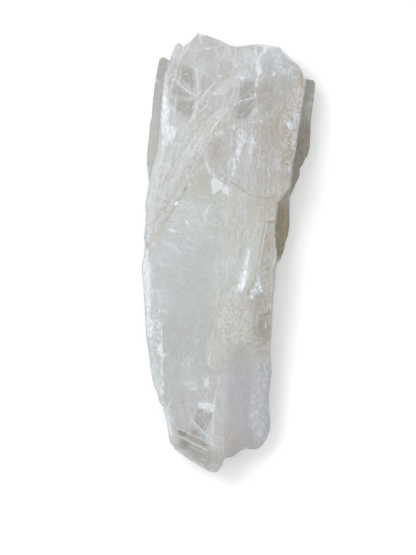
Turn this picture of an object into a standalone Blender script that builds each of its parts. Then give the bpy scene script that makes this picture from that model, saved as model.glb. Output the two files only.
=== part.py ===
"""Selenite crystal blade, lying flat: a stack of parallel growth sheets fused into one solid.

Lengths are in millimetres in the values below, and become metres where a mesh is made.
+X is across the blade, +Y along it towards the broad broken end, +Z up from the face it rests on.
Every sheet is an outline seen from above with a thickness, and flat crystal faces are then cut on it.
The edges that show in outline, named DRAWN_, are points on a square drawing grid, counted right and
down from its corner. The blade's real length sets the size of a square.
"""

import bmesh
import bpy
from mathutils import Matrix, Vector

MM = 0.001

BLADE_LENGTH = 281.92
BLADE_LENGTH_IN_SQUARES = 440.5
GRID_SQUARE = BLADE_LENGTH / BLADE_LENGTH_IN_SQUARES
GRID_MIDDLE = (228.75, 253.25)
DRAWN_STEPS_PER_MM = 2

# Body layers from the resting face up: height of the top, and how far it stands back from the outline
BODY_LAYERS = [(7.5, 0.030), (15.0, 0.000), (21.5, 0.016), (29.0, 0.003), (40.0, 0.006)]
LAYER_OVERLAP = 0.5
RAW_TOP = 40.0
BLOCK_SIZE = 600.0
LOWER_PLATE_BOTTOM = 0.8
LOWER_PLATE_TOP = 23.0
LOWER_PLATE_LEDGE_TOP = 11.0
LOWER_PLATE_LEDGE_SET_BACK = 0.025
SHELF_BOTTOM = 2.0
SHELF_STEP_BOTTOM = 3.5
LOBE_BOTTOM = 2.8
SLIVER_BOTTOM = 17.0
UPPER_SHEET_BOTTOM = 25.0
UPPER_SHEET_SET_BACK = 0.010

SELENITE_COLOUR = (0.66, 0.67, 0.65, 1.0)
SELENITE_ROUGHNESS = 0.32
SELENITE_IOR = 1.52
SELENITE_TRANSMISSION = 0.35

# Outline of the broken far end of the body, from left to right
DRAWN_FAR_END = [
    (171, 62), (172, 56), (174, 48), (178, 43), (182, 44.5), (184, 47.5), (187, 43), (190, 41),
    (195, 36), (197.5, 33), (205, 35), (220, 41), (228, 45), (234, 47), (242, 47), (256, 44.5),
    (268, 45.5), (280, 47), (284, 51), (290, 58), (298, 64.5), (302, 70), (303, 74), (302.25, 83),
]
# Right edge of the body below the upper sheet's reach, from far to near
DRAWN_RIGHT_EDGE = [
    (300.5, 100), (296, 140), (291.25, 173), (284, 195), (277.5, 203), (276.5, 218), (275, 227.5),
]
# The body steps back from the right edge here, and leaves a lower shelf beside it
BODY_SHELF_EDGE = [
    (25.0, 18.0), (24.0, 12.0), (21.5, 1.0), (19.0, -10.0), (16.5, -19.0), (13.8, -24.0),
    (14.0, -40.0), (14.5, -57.0),
]
# The body ends on the right against the near lobe, then runs out to the pointed tip on the left
BODY_LOBE_EDGE = [
    (7.0, -61.5), (0.5, -62.5), (-4.5, -69.0), (-6.6, -80.0), (-8.8, -100.0), (-9.6, -126.0),
    (-5.0, -134.5),
]
DRAWN_TIP = [
    (219, 468.5), (217, 472), (213, 473.5), (205, 470), (190, 460.5), (175, 450.5), (170.5, 443.5),
]
# Left edge of the body, from near to far
DRAWN_LEFT_EDGE = [
    (167.5, 425), (163, 407), (159, 401), (158, 394), (152.5, 378), (150, 360), (146.5, 337),
    (145.5, 320), (144.5, 300), (143, 282), (141.5, 270), (144.5, 255), (145, 241), (144, 237.5),
    (146, 222), (145.5, 205), (147, 195), (149, 184), (151.5, 170), (157, 150), (158.5, 138),
    (161, 106), (163.5, 82), (165.5, 72), (168.5, 66.5),
]
# Near lobe on the right, and the edge inside the blade where it joins the body
DRAWN_LOBE_EDGE = [
    (271, 356.5), (271.5, 367), (271.5, 374), (269.5, 390), (268.5, 398), (270, 421), (269.5, 430),
    (266, 441), (263, 446), (259, 449), (250, 449), (246, 448.8), (240, 451), (234, 456), (230, 457.5),
    (225, 458), (223.5, 461),
]
LOBE_JOIN = [
    (-6.5, -136.0), (-12.0, -130.0), (-14.0, -100.0), (-12.0, -70.0), (-6.0, -55.0), (6.0, -52.0),
    (19.0, -58.0),
]
# Right margin shelf, from its far corner to the lobe, and the edge inside the blade where it joins the body
DRAWN_SHELF_EDGE = [
    (275, 222), (275, 226), (276, 236), (275.5, 245), (277, 249), (276.5, 264.5), (275, 285),
    (273.5, 295), (272.5, 313), (272, 325), (270.5, 350), (271.5, 365.5),
]
SHELF_JOIN = [(19.0, -71.0), (6.0, -50.0), (6.0, -15.0), (14.0, 8.0), (22.0, 21.0)]
# Higher part of the shelf, which ends in a step across it
SHELF_STEP_OUTLINE = [
    (20.0, 20.5), (29.5, 19.2), (29.5, 5.5), (30.5, 2.5), (30.0, -7.0), (29.0, -20.5), (28.0, -26.5),
    (27.4, -37.0), (20.5, -40.0), (10.0, -38.0), (10.0, -15.0), (15.0, 8.0),
]
# Broader plate that the body grew on, showing as a strip on the left and a wider one on the right
DRAWN_PLATE_LEFT_EDGE = [
    (165, 58.5), (161, 57.5), (159.5, 60), (158, 68), (155, 85), (153.5, 97), (152.5, 108),
    (150, 125), (149, 137), (147, 162), (148.5, 175),
]
PLATE_JOIN_UNDER_BODY = [(-50.2, 42.0), (-38.0, 22.0), (0.0, -8.0), (22.0, -16.0), (29.2, -8.0)]
DRAWN_PLATE_RIGHT_EDGE = [
    (280, 259), (284, 250), (285, 243), (288, 235), (289.5, 225), (289.5, 196), (295, 185),
    (300, 175), (300, 168), (304, 163), (305.5, 157.5), (308, 156), (309.3, 150), (310.5, 136),
    (311, 122), (312.5, 110), (315, 90), (316, 83), (314.5, 80.5), (310, 79.5),
]
PLATE_JOIN_UNDER_FAR_END = [(46.0, 111.3), (30.0, 119.0), (-20.0, 121.0), (-38.0, 122.8)]
# Uppermost sheet of the broad end. Its near edge runs up the diagonal break, then round to the right edge
UPPER_SHEET_CORNER = [(47.8, 111.0), (49.8, 107.0)]
DRAWN_UPPER_SHEET_RIGHT_EDGE = [
    (303, 95), (300.25, 111), (299, 125.5), (297.5, 140), (294, 162.5), (292, 173), (291, 186),
    (284, 195), (276.5, 202.5),
]
UPPER_SHEET_NEAR_EDGE = [
    (26.5, 35.0), (21.0, 35.0), (15.5, 36.5), (10.5, 40.0), (5.0, 43.0), (1.0, 45.5), (-4.5, 45.0),
    (-8.0, 47.5), (-11.5, 52.5), (-16.5, 59.0), (-19.0, 57.5), (-22.5, 53.0), (-24.5, 45.5),
    (-27.5, 40.5), (-32.5, 34.0), (-36.5, 27.0), (-41.0, 20.0), (-46.0, 14.0), (-50.0, 8.5),
]
UPPER_SHEET_LEFT_EDGE = [
    (-51.0, 12.0), (-50.8, 20.0), (-51.2, 31.0), (-50.4, 37.5), (-49.0, 44.5), (-47.4, 53.5),
    (-44.0, 66.0), (-43.0, 74.0), (-41.5, 94.0), (-40.0, 109.0), (-37.0, 118.5),
]
# Sheets left of the ridge that stand on the upper sheet. Each ends further up the diagonal break
BREAK_STEP_RISE = 0.55
BREAK_STEP_SET_BACK = 0.008
BREAK_STEP_EDGES = [
    [
        (6.8, 98.5), (1.5, 92.5), (-5.0, 84.0), (-10.5, 76.0), (-14.5, 69.0), (-20.5, 62.5),
        (-25.5, 53.0), (-30.5, 45.5), (-36.5, 36.5), (-42.0, 27.0), (-46.5, 20.5), (-49.0, 19.5),
        (-49.3, 31.0), (-48.7, 37.5), (-47.3, 44.5), (-45.7, 53.5),
    ],
    [
        (6.0, 107.0), (-2.5, 100.0), (-10.0, 93.0), (-16.0, 85.0), (-22.0, 77.5), (-28.0, 68.5),
        (-33.0, 60.5), (-38.5, 51.5), (-43.0, 44.0), (-46.0, 41.0), (-46.4, 45.0), (-45.0, 53.5),
    ],
    [
        (5.2, 116.0), (-4.0, 112.0), (-9.0, 107.0), (-14.0, 97.5), (-22.5, 89.0), (-31.0, 79.0),
        (-36.5, 72.0), (-40.5, 67.5),
    ],
]
BREAK_STEP_SIDES = [
    (-42.5, 68.5), (-41.5, 76.0), (-40.0, 94.0), (-38.5, 109.0), (-35.5, 118.0), (-33.0, 124.0),
    (-27.0, 131.0), (-20.2, 138.2), (-15.0, 137.2), (-5.5, 133.8), (-0.5, 131.4), (3.5, 130.0),
    (7.4, 129.6),
]
# Narrow sliver along the left edge of the broad end
SLIVER_OUTLINE = [
    (-41.2, 70.0), (-43.8, 84.0), (-43.0, 96.0), (-41.8, 110.0), (-40.0, 116.5), (-37.6, 119.8),
    (-36.8, 125.5), (-35.4, 131.2), (-32.6, 134.2), (-30.2, 133.2), (-31.5, 122.0), (-33.0, 108.0),
    (-35.5, 92.0), (-37.0, 76.0), (-39.0, 68.0),
]

# A crystal face is a point on it and how much it rises across the blade (+X) and along it (+Y)
BODY_TOP_FACES = {
    "text side": ((0.0, 0.0, 34.3), 0.080, 0.0046),
    "fibrous side": ((0.0, 0.0, 33.8), -0.050, 0.0166),
    "far right": ((34.0, 95.0, 33.2), -0.300, 0.0000),
    "broken corner": ((39.0, 124.0, 30.4), -0.630, -0.5600),
    "left bevel": ((-43.4, -75.0, 30.4), 0.950, 0.0300),
    "left mid bevel": ((-50.0, -15.0, 30.0), 1.250, -0.0500),
    "tip": ((-22.0, -118.0, 29.6), 0.055, 0.1500),
    "tip bevel": ((-22.5, -131.5, 24.0), 0.750, 1.0500),
}
LOBE_TOP_FACES = {
    "cream": ((-9.0, -100.0, 32.3), -0.130, 0.0234),
    "grey": ((0.8, -80.0, 31.6), -0.165, 0.0200),
    "frosted": ((17.0, -100.0, 27.6), -0.800, 0.0300),
    "end": ((14.0, -116.0, 26.0), -0.750, 0.7500),
}
UPPER_TOP_FACES = {
    "left": ((0.0, 0.0, 34.8), 0.060, 0.0090),
    "right": ((0.0, 0.0, 34.4), -0.042, 0.0170),
    "far right": ((34.0, 95.0, 34.7), -0.290, 0.0000),
    "broken corner": ((39.0, 124.0, 31.9), -0.620, -0.5500),
}
BREAK_TOP_FACE = ((0.0, 0.0, 34.8), 0.060, 0.0090)
SLIVER_TOP_FACE = ((-38.0, 100.0, 31.2), 0.280, 0.0100)
SHELF_STEP_TOP_FACE = ((22.0, -10.0, 29.2), -0.130, 0.0100)
SHELF_TOP_FACES = {
    "top": ((22.0, -50.0, 27.4), -0.120, 0.0150),
    "edge": ((26.0, -50.0, 25.5), -0.900, 0.0300),
}
LOWER_PLATE_TOP_FACES = {
    "right": ((46.0, 80.0, 18.5), -0.450, 0.0000),
    "near right": ((33.0, 15.0, 17.0), -0.500, 0.1600),
    "left": ((-45.0, 90.0, 20.0), 0.450, 0.0200),
}
# Faces of the underside, which rise away from the flat face that it rests on
UNDER_FACES = {
    "left": ((-38.0, 20.0, 0.0), -0.820, 0.0150),
    "right": ((36.0, 60.0, 0.0), 0.480, -0.0400),
    "near right": ((17.0, -70.0, 0.0), 0.800, -0.1400),
    "near": ((-8.0, -96.0, 0.0), 0.020, -0.2000),
    "tip": ((-12.0, -126.0, 6.0), 0.050, -0.6000),
    "far": ((0.0, 112.0, 0.0), 0.015, 0.4200),
}


def clear_scene():
    for old in list(bpy.data.objects):
        bpy.data.objects.remove(old, do_unlink=True)


def new_collection(name):
    collection = bpy.data.collections.new(name)
    bpy.context.scene.collection.children.link(collection)
    return collection


def drawn(points):
    """Points of the drawing grid as places across and along the blade, to the nearest half millimetre."""
    middle_x, middle_y = GRID_MIDDLE
    places = []
    for x, y in points:
        across = (x - middle_x) * GRID_SQUARE
        along = (middle_y - y) * GRID_SQUARE
        places.append((round(across * DRAWN_STEPS_PER_MM) / DRAWN_STEPS_PER_MM,
                       round(along * DRAWN_STEPS_PER_MM) / DRAWN_STEPS_PER_MM))
    return places


def selenite_material():
    material = bpy.data.materials.new("selenite")
    material.use_nodes = True
    shader = material.node_tree.nodes["Principled BSDF"]
    shader.inputs["Base Color"].default_value = SELENITE_COLOUR
    shader.inputs["Roughness"].default_value = SELENITE_ROUGHNESS
    shader.inputs["IOR"].default_value = SELENITE_IOR
    shader.inputs["Transmission Weight"].default_value = SELENITE_TRANSMISSION
    return material


def sheet(name, outline, bottom, top, collection):
    """A flat outline extruded between two heights, as a closed mesh object."""
    curve = bpy.data.curves.new(name + "_outline", "CURVE")
    curve.dimensions = "2D"
    curve.fill_mode = "BOTH"
    curve.extrude = (top - bottom) / 2 * MM
    spline = curve.splines.new("POLY")
    spline.points.add(len(outline) - 1)
    spline.use_cyclic_u = True
    for point, (x, y) in zip(spline.points, outline):
        point.co = (x * MM, y * MM, 0.0, 1.0)
    drawn = bpy.data.objects.new(name + "_curve", curve)
    drawn.location.z = (bottom + top) / 2 * MM
    collection.objects.link(drawn)
    bpy.context.view_layer.update()
    graph = bpy.context.evaluated_depsgraph_get()
    mesh = bpy.data.meshes.new_from_object(drawn.evaluated_get(graph))
    mesh.transform(drawn.matrix_world)
    bpy.data.objects.remove(drawn)
    bm = bmesh.new()
    bm.from_mesh(mesh)
    bmesh.ops.remove_doubles(bm, verts=bm.verts, dist=1e-6)
    bmesh.ops.recalc_face_normals(bm, faces=bm.faces)
    bm.to_mesh(mesh)
    bm.free()
    piece = bpy.data.objects.new(name, mesh)
    collection.objects.link(piece)
    return piece


def block_beyond(face, keep_below, collection):
    """A large block with one side on the crystal face, covering all that the face cuts away."""
    (x, y, z), rise_x, rise_y = face
    outward = Vector((-rise_x, -rise_y, 1.0)).normalized()
    if not keep_below:
        outward.negate()
    turn = outward.to_track_quat("Z", "Y").to_matrix().to_4x4()
    place = Matrix.Translation(Vector((x, y, z)) * MM + outward * BLOCK_SIZE / 2 * MM)
    bm = bmesh.new()
    bmesh.ops.create_cube(bm, size=BLOCK_SIZE * MM, matrix=place @ turn)
    mesh = bpy.data.meshes.new("block")
    bm.to_mesh(mesh)
    bm.free()
    block = bpy.data.objects.new("block", mesh)
    collection.objects.link(block)
    return block


def combined(name, core, others, operation, collection):
    """Applies one Boolean operation with each of the others to the core, as one closed mesh object."""
    for other in others:
        step = core.modifiers.new(other.name, "BOOLEAN")
        step.operation = operation
        step.solver = "EXACT"
        step.object = other
    bpy.context.view_layer.update()
    graph = bpy.context.evaluated_depsgraph_get()
    mesh = bpy.data.meshes.new_from_object(core.evaluated_get(graph))
    for used in [core, *others]:
        bpy.data.objects.remove(used)
    whole = bpy.data.objects.new(name, mesh)
    collection.objects.link(whole)
    return whole


def fused(name, pieces, collection):
    core, *others = pieces
    return combined(name, core, others, "UNION", collection)


def faceted(piece, faces, collection, keep_below=True):
    """The piece with flat crystal faces cut on it, keeping what is below or above each of them."""
    blocks = [block_beyond(face, keep_below, collection) for face in faces]
    return combined(piece.name, piece, blocks, "DIFFERENCE", collection)


def raised(face, rise):
    (x, y, z), rise_x, rise_y = face
    return ((x, y, z + rise), rise_x, rise_y)


def set_back(outline, share):
    """The outline drawn in towards the middle of the blade by a share of its size."""
    return [(x * (1.0 - share), y * (1.0 - share)) for x, y in outline]


def body(collection):
    """The body as parallel layers, some standing back a little so that their edges show at the sides."""
    outline = drawn(DRAWN_FAR_END + DRAWN_RIGHT_EDGE) + BODY_SHELF_EDGE + BODY_LOBE_EDGE
    outline += drawn(DRAWN_TIP + DRAWN_LEFT_EDGE)
    layers = []
    bottom = 0.0
    for top, share in BODY_LAYERS:
        name = f"body_layer_{len(layers) + 1}"
        layers.append(sheet(name, set_back(outline, share), bottom, top, collection))
        bottom = top - LAYER_OVERLAP
    return faceted(fused("body", layers, collection), BODY_TOP_FACES.values(), collection)


def lobe(collection):
    """The lobe beside the tip at the near end, whose faces fall away to the right."""
    outline = drawn(DRAWN_LOBE_EDGE) + LOBE_JOIN
    piece = sheet("lobe", outline, LOBE_BOTTOM, RAW_TOP, collection)
    return faceted(piece, LOBE_TOP_FACES.values(), collection)


def lower_plate(collection):
    """The broader plate that the body grew on, in two levels that show as strips along both sides."""
    outline = drawn(DRAWN_PLATE_LEFT_EDGE) + PLATE_JOIN_UNDER_BODY + drawn(DRAWN_PLATE_RIGHT_EDGE)
    outline += PLATE_JOIN_UNDER_FAR_END
    plate = sheet("lower_plate", outline, LOWER_PLATE_LEDGE_TOP, LOWER_PLATE_TOP, collection)
    ledge_outline = set_back(outline, LOWER_PLATE_LEDGE_SET_BACK)
    ledge_top = LOWER_PLATE_LEDGE_TOP + LAYER_OVERLAP
    ledge = sheet("lower_plate_ledge", ledge_outline, LOWER_PLATE_BOTTOM, ledge_top, collection)
    return [faceted(plate, LOWER_PLATE_TOP_FACES.values(), collection), ledge]


def shelf(collection):
    """The lower margin along the right of the narrow end, in two levels."""
    low = sheet("shelf", drawn(DRAWN_SHELF_EDGE) + SHELF_JOIN, SHELF_BOTTOM, RAW_TOP, collection)
    high = sheet("shelf_step", SHELF_STEP_OUTLINE, SHELF_STEP_BOTTOM, RAW_TOP, collection)
    return [
        faceted(low, SHELF_TOP_FACES.values(), collection),
        faceted(high, [SHELF_STEP_TOP_FACE], collection),
    ]


def sliver(collection):
    piece = sheet("left_sliver", SLIVER_OUTLINE, SLIVER_BOTTOM, RAW_TOP, collection)
    return faceted(piece, [SLIVER_TOP_FACE], collection)


def upper_sheets(collection):
    """The uppermost sheets of the broad end, which end in steps down the diagonal break."""
    outline = set_back(drawn(DRAWN_FAR_END), UPPER_SHEET_SET_BACK) + UPPER_SHEET_CORNER
    outline += drawn(DRAWN_UPPER_SHEET_RIGHT_EDGE) + UPPER_SHEET_NEAR_EDGE + UPPER_SHEET_LEFT_EDGE
    upper = sheet("upper_sheet", outline, UPPER_SHEET_BOTTOM, RAW_TOP, collection)
    sheets = [faceted(upper, UPPER_TOP_FACES.values(), collection)]
    for i, edge in enumerate(BREAK_STEP_EDGES):
        step_outline = edge + set_back(BREAK_STEP_SIDES, BREAK_STEP_SET_BACK * i)
        step = sheet(f"break_step_{i + 1}", step_outline, UPPER_SHEET_BOTTOM + i + 1, RAW_TOP, collection)
        sheets.append(faceted(step, [raised(BREAK_TOP_FACE, BREAK_STEP_RISE * (i + 1))], collection))
    return sheets


def build():
    clear_scene()
    blade_collection = new_collection("selenite_blade")
    pieces = [body(blade_collection), lobe(blade_collection)]
    pieces += lower_plate(blade_collection)
    pieces += shelf(blade_collection)
    pieces += upper_sheets(blade_collection)
    pieces.append(sliver(blade_collection))
    whole = fused("selenite_blade", pieces, blade_collection)
    blade = faceted(whole, UNDER_FACES.values(), blade_collection, keep_below=False)
    blade.data.materials.clear()
    blade.data.materials.append(selenite_material())


build()
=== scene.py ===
"""Selenite crystal blade: a frosted, part clear growth of parallel sheets, lying on a pale studio floor.

The blade is one closed surface. Its top is a function of two parameters, across and along the blade,
its sides are a layered profile carried along the outline, and its underside is a coarser grid.
Edges and marks are drawn on a square grid, whose squares fit the width of the blade in the frame. Other
lengths in the tables are millimetres, and become metres in the mesh.
"""

import bpy
import numpy as np
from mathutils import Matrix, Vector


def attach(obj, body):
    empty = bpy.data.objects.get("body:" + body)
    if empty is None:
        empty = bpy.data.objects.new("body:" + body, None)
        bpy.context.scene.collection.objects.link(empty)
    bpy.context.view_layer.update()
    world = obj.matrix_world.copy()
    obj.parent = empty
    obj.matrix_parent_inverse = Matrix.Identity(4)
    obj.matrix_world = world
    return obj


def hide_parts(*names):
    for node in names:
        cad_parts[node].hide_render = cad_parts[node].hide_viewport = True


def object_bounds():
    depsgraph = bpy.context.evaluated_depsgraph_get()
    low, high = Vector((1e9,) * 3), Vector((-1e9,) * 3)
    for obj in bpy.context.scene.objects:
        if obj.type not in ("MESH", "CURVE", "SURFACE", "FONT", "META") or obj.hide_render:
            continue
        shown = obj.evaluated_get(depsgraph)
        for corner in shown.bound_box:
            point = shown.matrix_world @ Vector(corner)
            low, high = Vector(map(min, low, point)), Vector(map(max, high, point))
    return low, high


bl_info = {
    "name": "Selenite Blade",
    "version": (1, 0, 0),
    "blender": (4, 5, 0),
    "location": "View3D > Sidebar > Selenite",
    "description": "Grows a selenite crystal blade with its sheets, breaks, clear windows and stains",
    "category": "Add Mesh",
}

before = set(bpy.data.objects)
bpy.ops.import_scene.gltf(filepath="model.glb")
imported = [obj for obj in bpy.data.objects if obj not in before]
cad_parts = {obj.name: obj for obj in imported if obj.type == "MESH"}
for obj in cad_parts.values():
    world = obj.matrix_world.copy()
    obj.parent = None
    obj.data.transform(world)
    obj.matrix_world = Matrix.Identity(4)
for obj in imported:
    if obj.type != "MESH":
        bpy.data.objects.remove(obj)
CAD_LOW, CAD_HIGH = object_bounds()
NODE = "selenite_blade"
MM = 0.001

# ---------------------------------------------------------------------------------------------------
# Outline of the blade, seen from above, in squares of a drawing grid that count right and down from its
# corner. Side edges run from the near end to the far end, ends from left to right
# ---------------------------------------------------------------------------------------------------
BLADE_WIDTH_IN_SQUARES = 175.0
GRID_SQUARE = (CAD_HIGH[0] - CAD_LOW[0]) / MM / BLADE_WIDTH_IN_SQUARES
GRID_MIDDLE = (228.75, 253.25)
LEFT_EDGE = [
    (170.5, 443.5), (169, 435), (167.5, 425), (165, 415), (163, 407), (159, 401), (158, 394), (155, 388),
    (152.5, 378), (151, 370), (150, 360), (148.5, 350), (146.5, 337), (145.5, 320), (144.5, 300),
    (143, 282), (141.5, 270), (142.5, 262), (144.5, 255), (145, 241), (144, 237.5), (146, 222),
    (146, 212), (145.5, 205), (147, 195), (149, 184), (148.5, 175), (147, 162), (147.5, 150), (149, 137),
    (150, 125), (152, 116), (152.5, 108), (153.5, 97), (155, 85), (158, 68), (159.5, 60),
]
BODY_LEFT_EDGE = [
    (150, 184), (151.5, 170), (154.5, 160), (157, 150), (158.5, 138), (160, 124), (161, 106), (162.5, 92),
    (163.5, 82), (165.5, 72), (167.5, 67.5), (169.5, 60.5),
]
RIGHT_EDGE = [
    (266, 441), (269.5, 430), (270, 421), (269, 408), (268.5, 398), (269.5, 390), (271.5, 374),
    (271.5, 367), (270.5, 356.5), (270.5, 350), (272, 325), (272.5, 313), (273.5, 295), (275, 285),
    (276, 267.5), (278, 262), (280.5, 258.5), (284, 250), (285, 243), (288, 235), (289.5, 225),
    (289.5, 206), (290, 196), (295, 185), (299.5, 175), (300, 168), (303.5, 162.5), (305.5, 158),
    (307.5, 155.5), (309, 150), (310, 146), (310.5, 136), (311, 122), (312.5, 110), (314, 100),
    (315, 90), (316, 83),
]
BODY_RIGHT_EDGE = [
    (275.5, 267.5), (276, 259.5), (277, 249.5), (275.5, 244.5), (275, 236), (275, 226), (276, 221),
    (276.5, 212.5), (277.5, 202.5), (284, 195), (290.5, 187), (292, 173), (293.5, 161.5), (296.5, 145),
    (298.5, 131), (300.5, 118), (303, 102), (305.5, 90), (306.5, 83),
]
NEAR_END = [
    (170.5, 443.5), (175, 450), (190, 460.5), (205, 469.5), (210, 472.5), (213, 473.5), (217, 472),
    (219.5, 469), (222.5, 465), (223.5, 460.5), (225, 458), (230, 457.5), (234, 456), (240, 451),
    (246, 448.8), (250, 449.5), (255, 450), (259, 449), (263, 446), (266, 441),
]
FAR_END = [
    (159.5, 58.5), (161, 55.8), (165, 57), (169, 59.6), (170.5, 59.4), (171.5, 56), (174, 48),
    (175.8, 44.5), (178.5, 43), (182, 44.5), (184, 47.5), (186.5, 43.5), (190, 41), (195, 36),
    (197.5, 33), (205, 35), (213, 38), (220, 41), (228, 45), (234, 47), (242, 47), (250, 45.5),
    (256, 44.5), (268, 45.5), (280, 47), (284, 51), (290, 58), (294, 61.5), (298, 64.5), (302, 69.5),
    (303, 74), (303.5, 77.6), (306.5, 78), (310, 77.8), (314.5, 78.5), (316, 81),
]

# Areas that stand above their neighbours, in millimetres. Outer sides run well clear of the outline
BODY_AREA = [
    (-70, 160), (70, 160), (70, 21.0), (30.5, 20.8), (25.6, 20.4), (24.8, 16.0), (24.0, 12.0), (21.5, 1.0),
    (19.0, -10.0), (16.5, -19.0), (13.8, -24.0), (14.2, -32.0), (14.0, -40.0), (14.5, -57.0),
    (7.0, -60.5), (0.5, -62.0), (-4.5, -69.0), (-6.6, -80.0), (-8.8, -100.0), (-9.6, -126.0),
    (-5.5, -136.0), (-4.0, -160), (-70, -160),
]
LOBE_AREA = [
    (80, -65.5), (27.0, -65.0), (19.0, -60.0), (6.0, -52.0), (-6.0, -55.0), (-14.0, -70.0), (-14, -160),
    (80, -160),
]
SHELF_STEP_AREA = [
    (8.0, 24.0), (80, 24.0), (80, -36.4), (28.0, -36.8), (24.0, -39.0), (20.5, -40.2), (8.0, -39.0),
]
UPPER_AREA = [
    (-37.0, 150), (80, 150), (80, 32.6), (31.0, 34.4), (26.5, 35.0), (21.0, 35.0), (15.5, 36.5),
    (10.5, 40.0), (5.0, 43.0), (1.0, 45.5), (-4.5, 45.0), (-8.0, 47.5), (-11.5, 52.5), (-16.5, 59.0),
    (-19.0, 57.5), (-22.5, 53.0), (-24.5, 45.5), (-27.5, 40.5), (-32.5, 34.0), (-36.5, 27.0),
    (-41.0, 20.0), (-46.0, 14.0), (-50.0, 8.5), (-52.0, 8.0), (-51.4, 20.0), (-51.7, 31.0),
    (-50.8, 37.5), (-49.4, 44.5), (-47.8, 53.5), (-44.4, 66.0), (-43.2, 74.0), (-41.6, 94.0),
    (-40.0, 109.0), (-37.4, 118.5),
]
BREAK_STEP_AREAS = [
    [
        (6.8, 98.5), (1.5, 92.5), (-5.0, 84.0), (-10.5, 76.0), (-14.5, 69.0), (-20.5, 62.5),
        (-25.5, 53.0), (-30.5, 45.5), (-36.5, 36.5), (-42.0, 27.0), (-46.5, 20.5), (-49.0, 19.5),
        (-49.3, 31.0), (-48.7, 37.5), (-47.3, 44.5), (-45.7, 53.5), (-42.5, 68.5), (-41.5, 76.0),
        (-40.0, 94.0), (-38.5, 109.0), (-35.5, 118.0), (-33.0, 124.0), (-28.0, 131.0), (-20.2, 145.0),
        (7.4, 145.0),
    ],
    [
        (6.0, 107.0), (-2.5, 100.0), (-10.0, 93.0), (-16.0, 85.0), (-22.0, 77.5), (-28.0, 68.5),
        (-33.0, 60.5), (-38.5, 51.5), (-43.0, 44.0), (-46.0, 41.0), (-46.4, 45.0), (-45.0, 53.5),
        (-42.0, 68.0), (-41.0, 76.0), (-39.5, 94.0), (-38.0, 109.0), (-35.0, 118.0), (-32.5, 124.0),
        (-27.5, 131.0), (-20.0, 145.0), (7.2, 145.0),
    ],
    [
        (5.2, 116.0), (-4.0, 112.0), (-9.0, 107.0), (-14.0, 97.5), (-22.5, 89.0), (-31.0, 79.0),
        (-36.5, 72.0), (-40.5, 67.5), (-41.5, 72.0), (-40.4, 78.0), (-39.0, 94.0), (-37.5, 109.0),
        (-34.6, 118.0), (-32.0, 124.0), (-27.0, 131.0), (-19.8, 145.0), (7.0, 145.0),
    ],
]
SLIVER_AREA = [
    (-41.2, 70.0), (-50, 84.0), (-60, 150), (-28.4, 150), (-28.8, 131.6), (-31.5, 122.0), (-33.6, 108.0),
    (-36.3, 92.0), (-37.8, 78.0), (-39.0, 68.0),
]
DIAGONAL_BAND = [
    (6.0, 112.0), (-5.0, 108.0), (-12.0, 103.0), (-20.0, 93.0), (-31.0, 79.0), (-41.0, 69.0),
    (-50.0, 58.0), (-53.0, 30.0), (-52.0, 6.0), (-41.0, 20.0), (-32.5, 34.0), (-24.5, 45.5),
    (-19.0, 57.5), (-14.0, 64.0), (-6.0, 78.0), (4.0, 92.0),
]

# Crystal faces: a point on the face, and how much it rises across the blade (+X) and along it (+Y)
BODY_FACES = [
    ((0.0, 0.0, 34.3), 0.080, 0.0046), ((0.0, 0.0, 33.8), -0.050, 0.0166),
    ((34.0, 95.0, 33.2), -0.300, 0.0000), ((39.0, 124.0, 30.4), -0.630, -0.5600),
    ((-43.4, -75.0, 30.4), 0.950, 0.0300), ((-50.0, -15.0, 30.0), 1.250, -0.0500),
    ((-22.0, -118.0, 29.6), 0.055, 0.1500), ((-22.5, -131.5, 24.0), 0.750, 1.0500),
]
LOBE_FACES = [
    ((-9.0, -100.0, 32.3), -0.130, 0.0234), ((0.8, -80.0, 31.6), -0.165, 0.0200),
    ((17.0, -100.0, 27.6), -0.800, 0.0300), ((14.0, -116.0, 26.0), -0.750, 0.7500),
]
UPPER_FACES = [
    ((0.0, 0.0, 34.8), 0.060, 0.0090), ((0.0, 0.0, 34.4), -0.042, 0.0170),
    ((34.0, 95.0, 34.7), -0.290, 0.0000), ((39.0, 124.0, 31.9), -0.620, -0.5500),
]
BREAK_FACE = ((0.0, 0.0, 34.8), 0.060, 0.0090)
SLIVER_FACE = ((-38.0, 100.0, 31.2), 0.280, 0.0100)
SHELF_STEP_FACE = ((22.0, -10.0, 29.2), -0.130, 0.0100)
SHELF_FACES = [((22.0, -50.0, 27.4), -0.120, 0.0150), ((26.0, -50.0, 25.5), -0.900, 0.0300)]
LEFT_STRIP_FACE = ((-45.0, 90.0, 20.0), 0.450, 0.0200)
RIGHT_STRIP_FACES = [((46.0, 80.0, 18.5), -0.450, 0.0000), ((33.0, 15.0, 17.0), -0.500, 0.1600)]
UNDER_FACES = [
    ((-38.0, 20.0, 0.0), -0.820, 0.0150), ((36.0, 60.0, 0.0), 0.480, -0.0400),
    ((17.0, -70.0, 0.0), 0.800, -0.1400), ((-8.0, -96.0, 0.0), 0.020, -0.2000),
    ((-12.0, -126.0, 6.0), 0.050, -0.6000), ((0.0, 112.0, 0.0), 0.015, 0.4200),
]
LEFT_LEDGE_TOP = 20.5
RIGHT_LEDGE_TOP = 16.5

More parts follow.
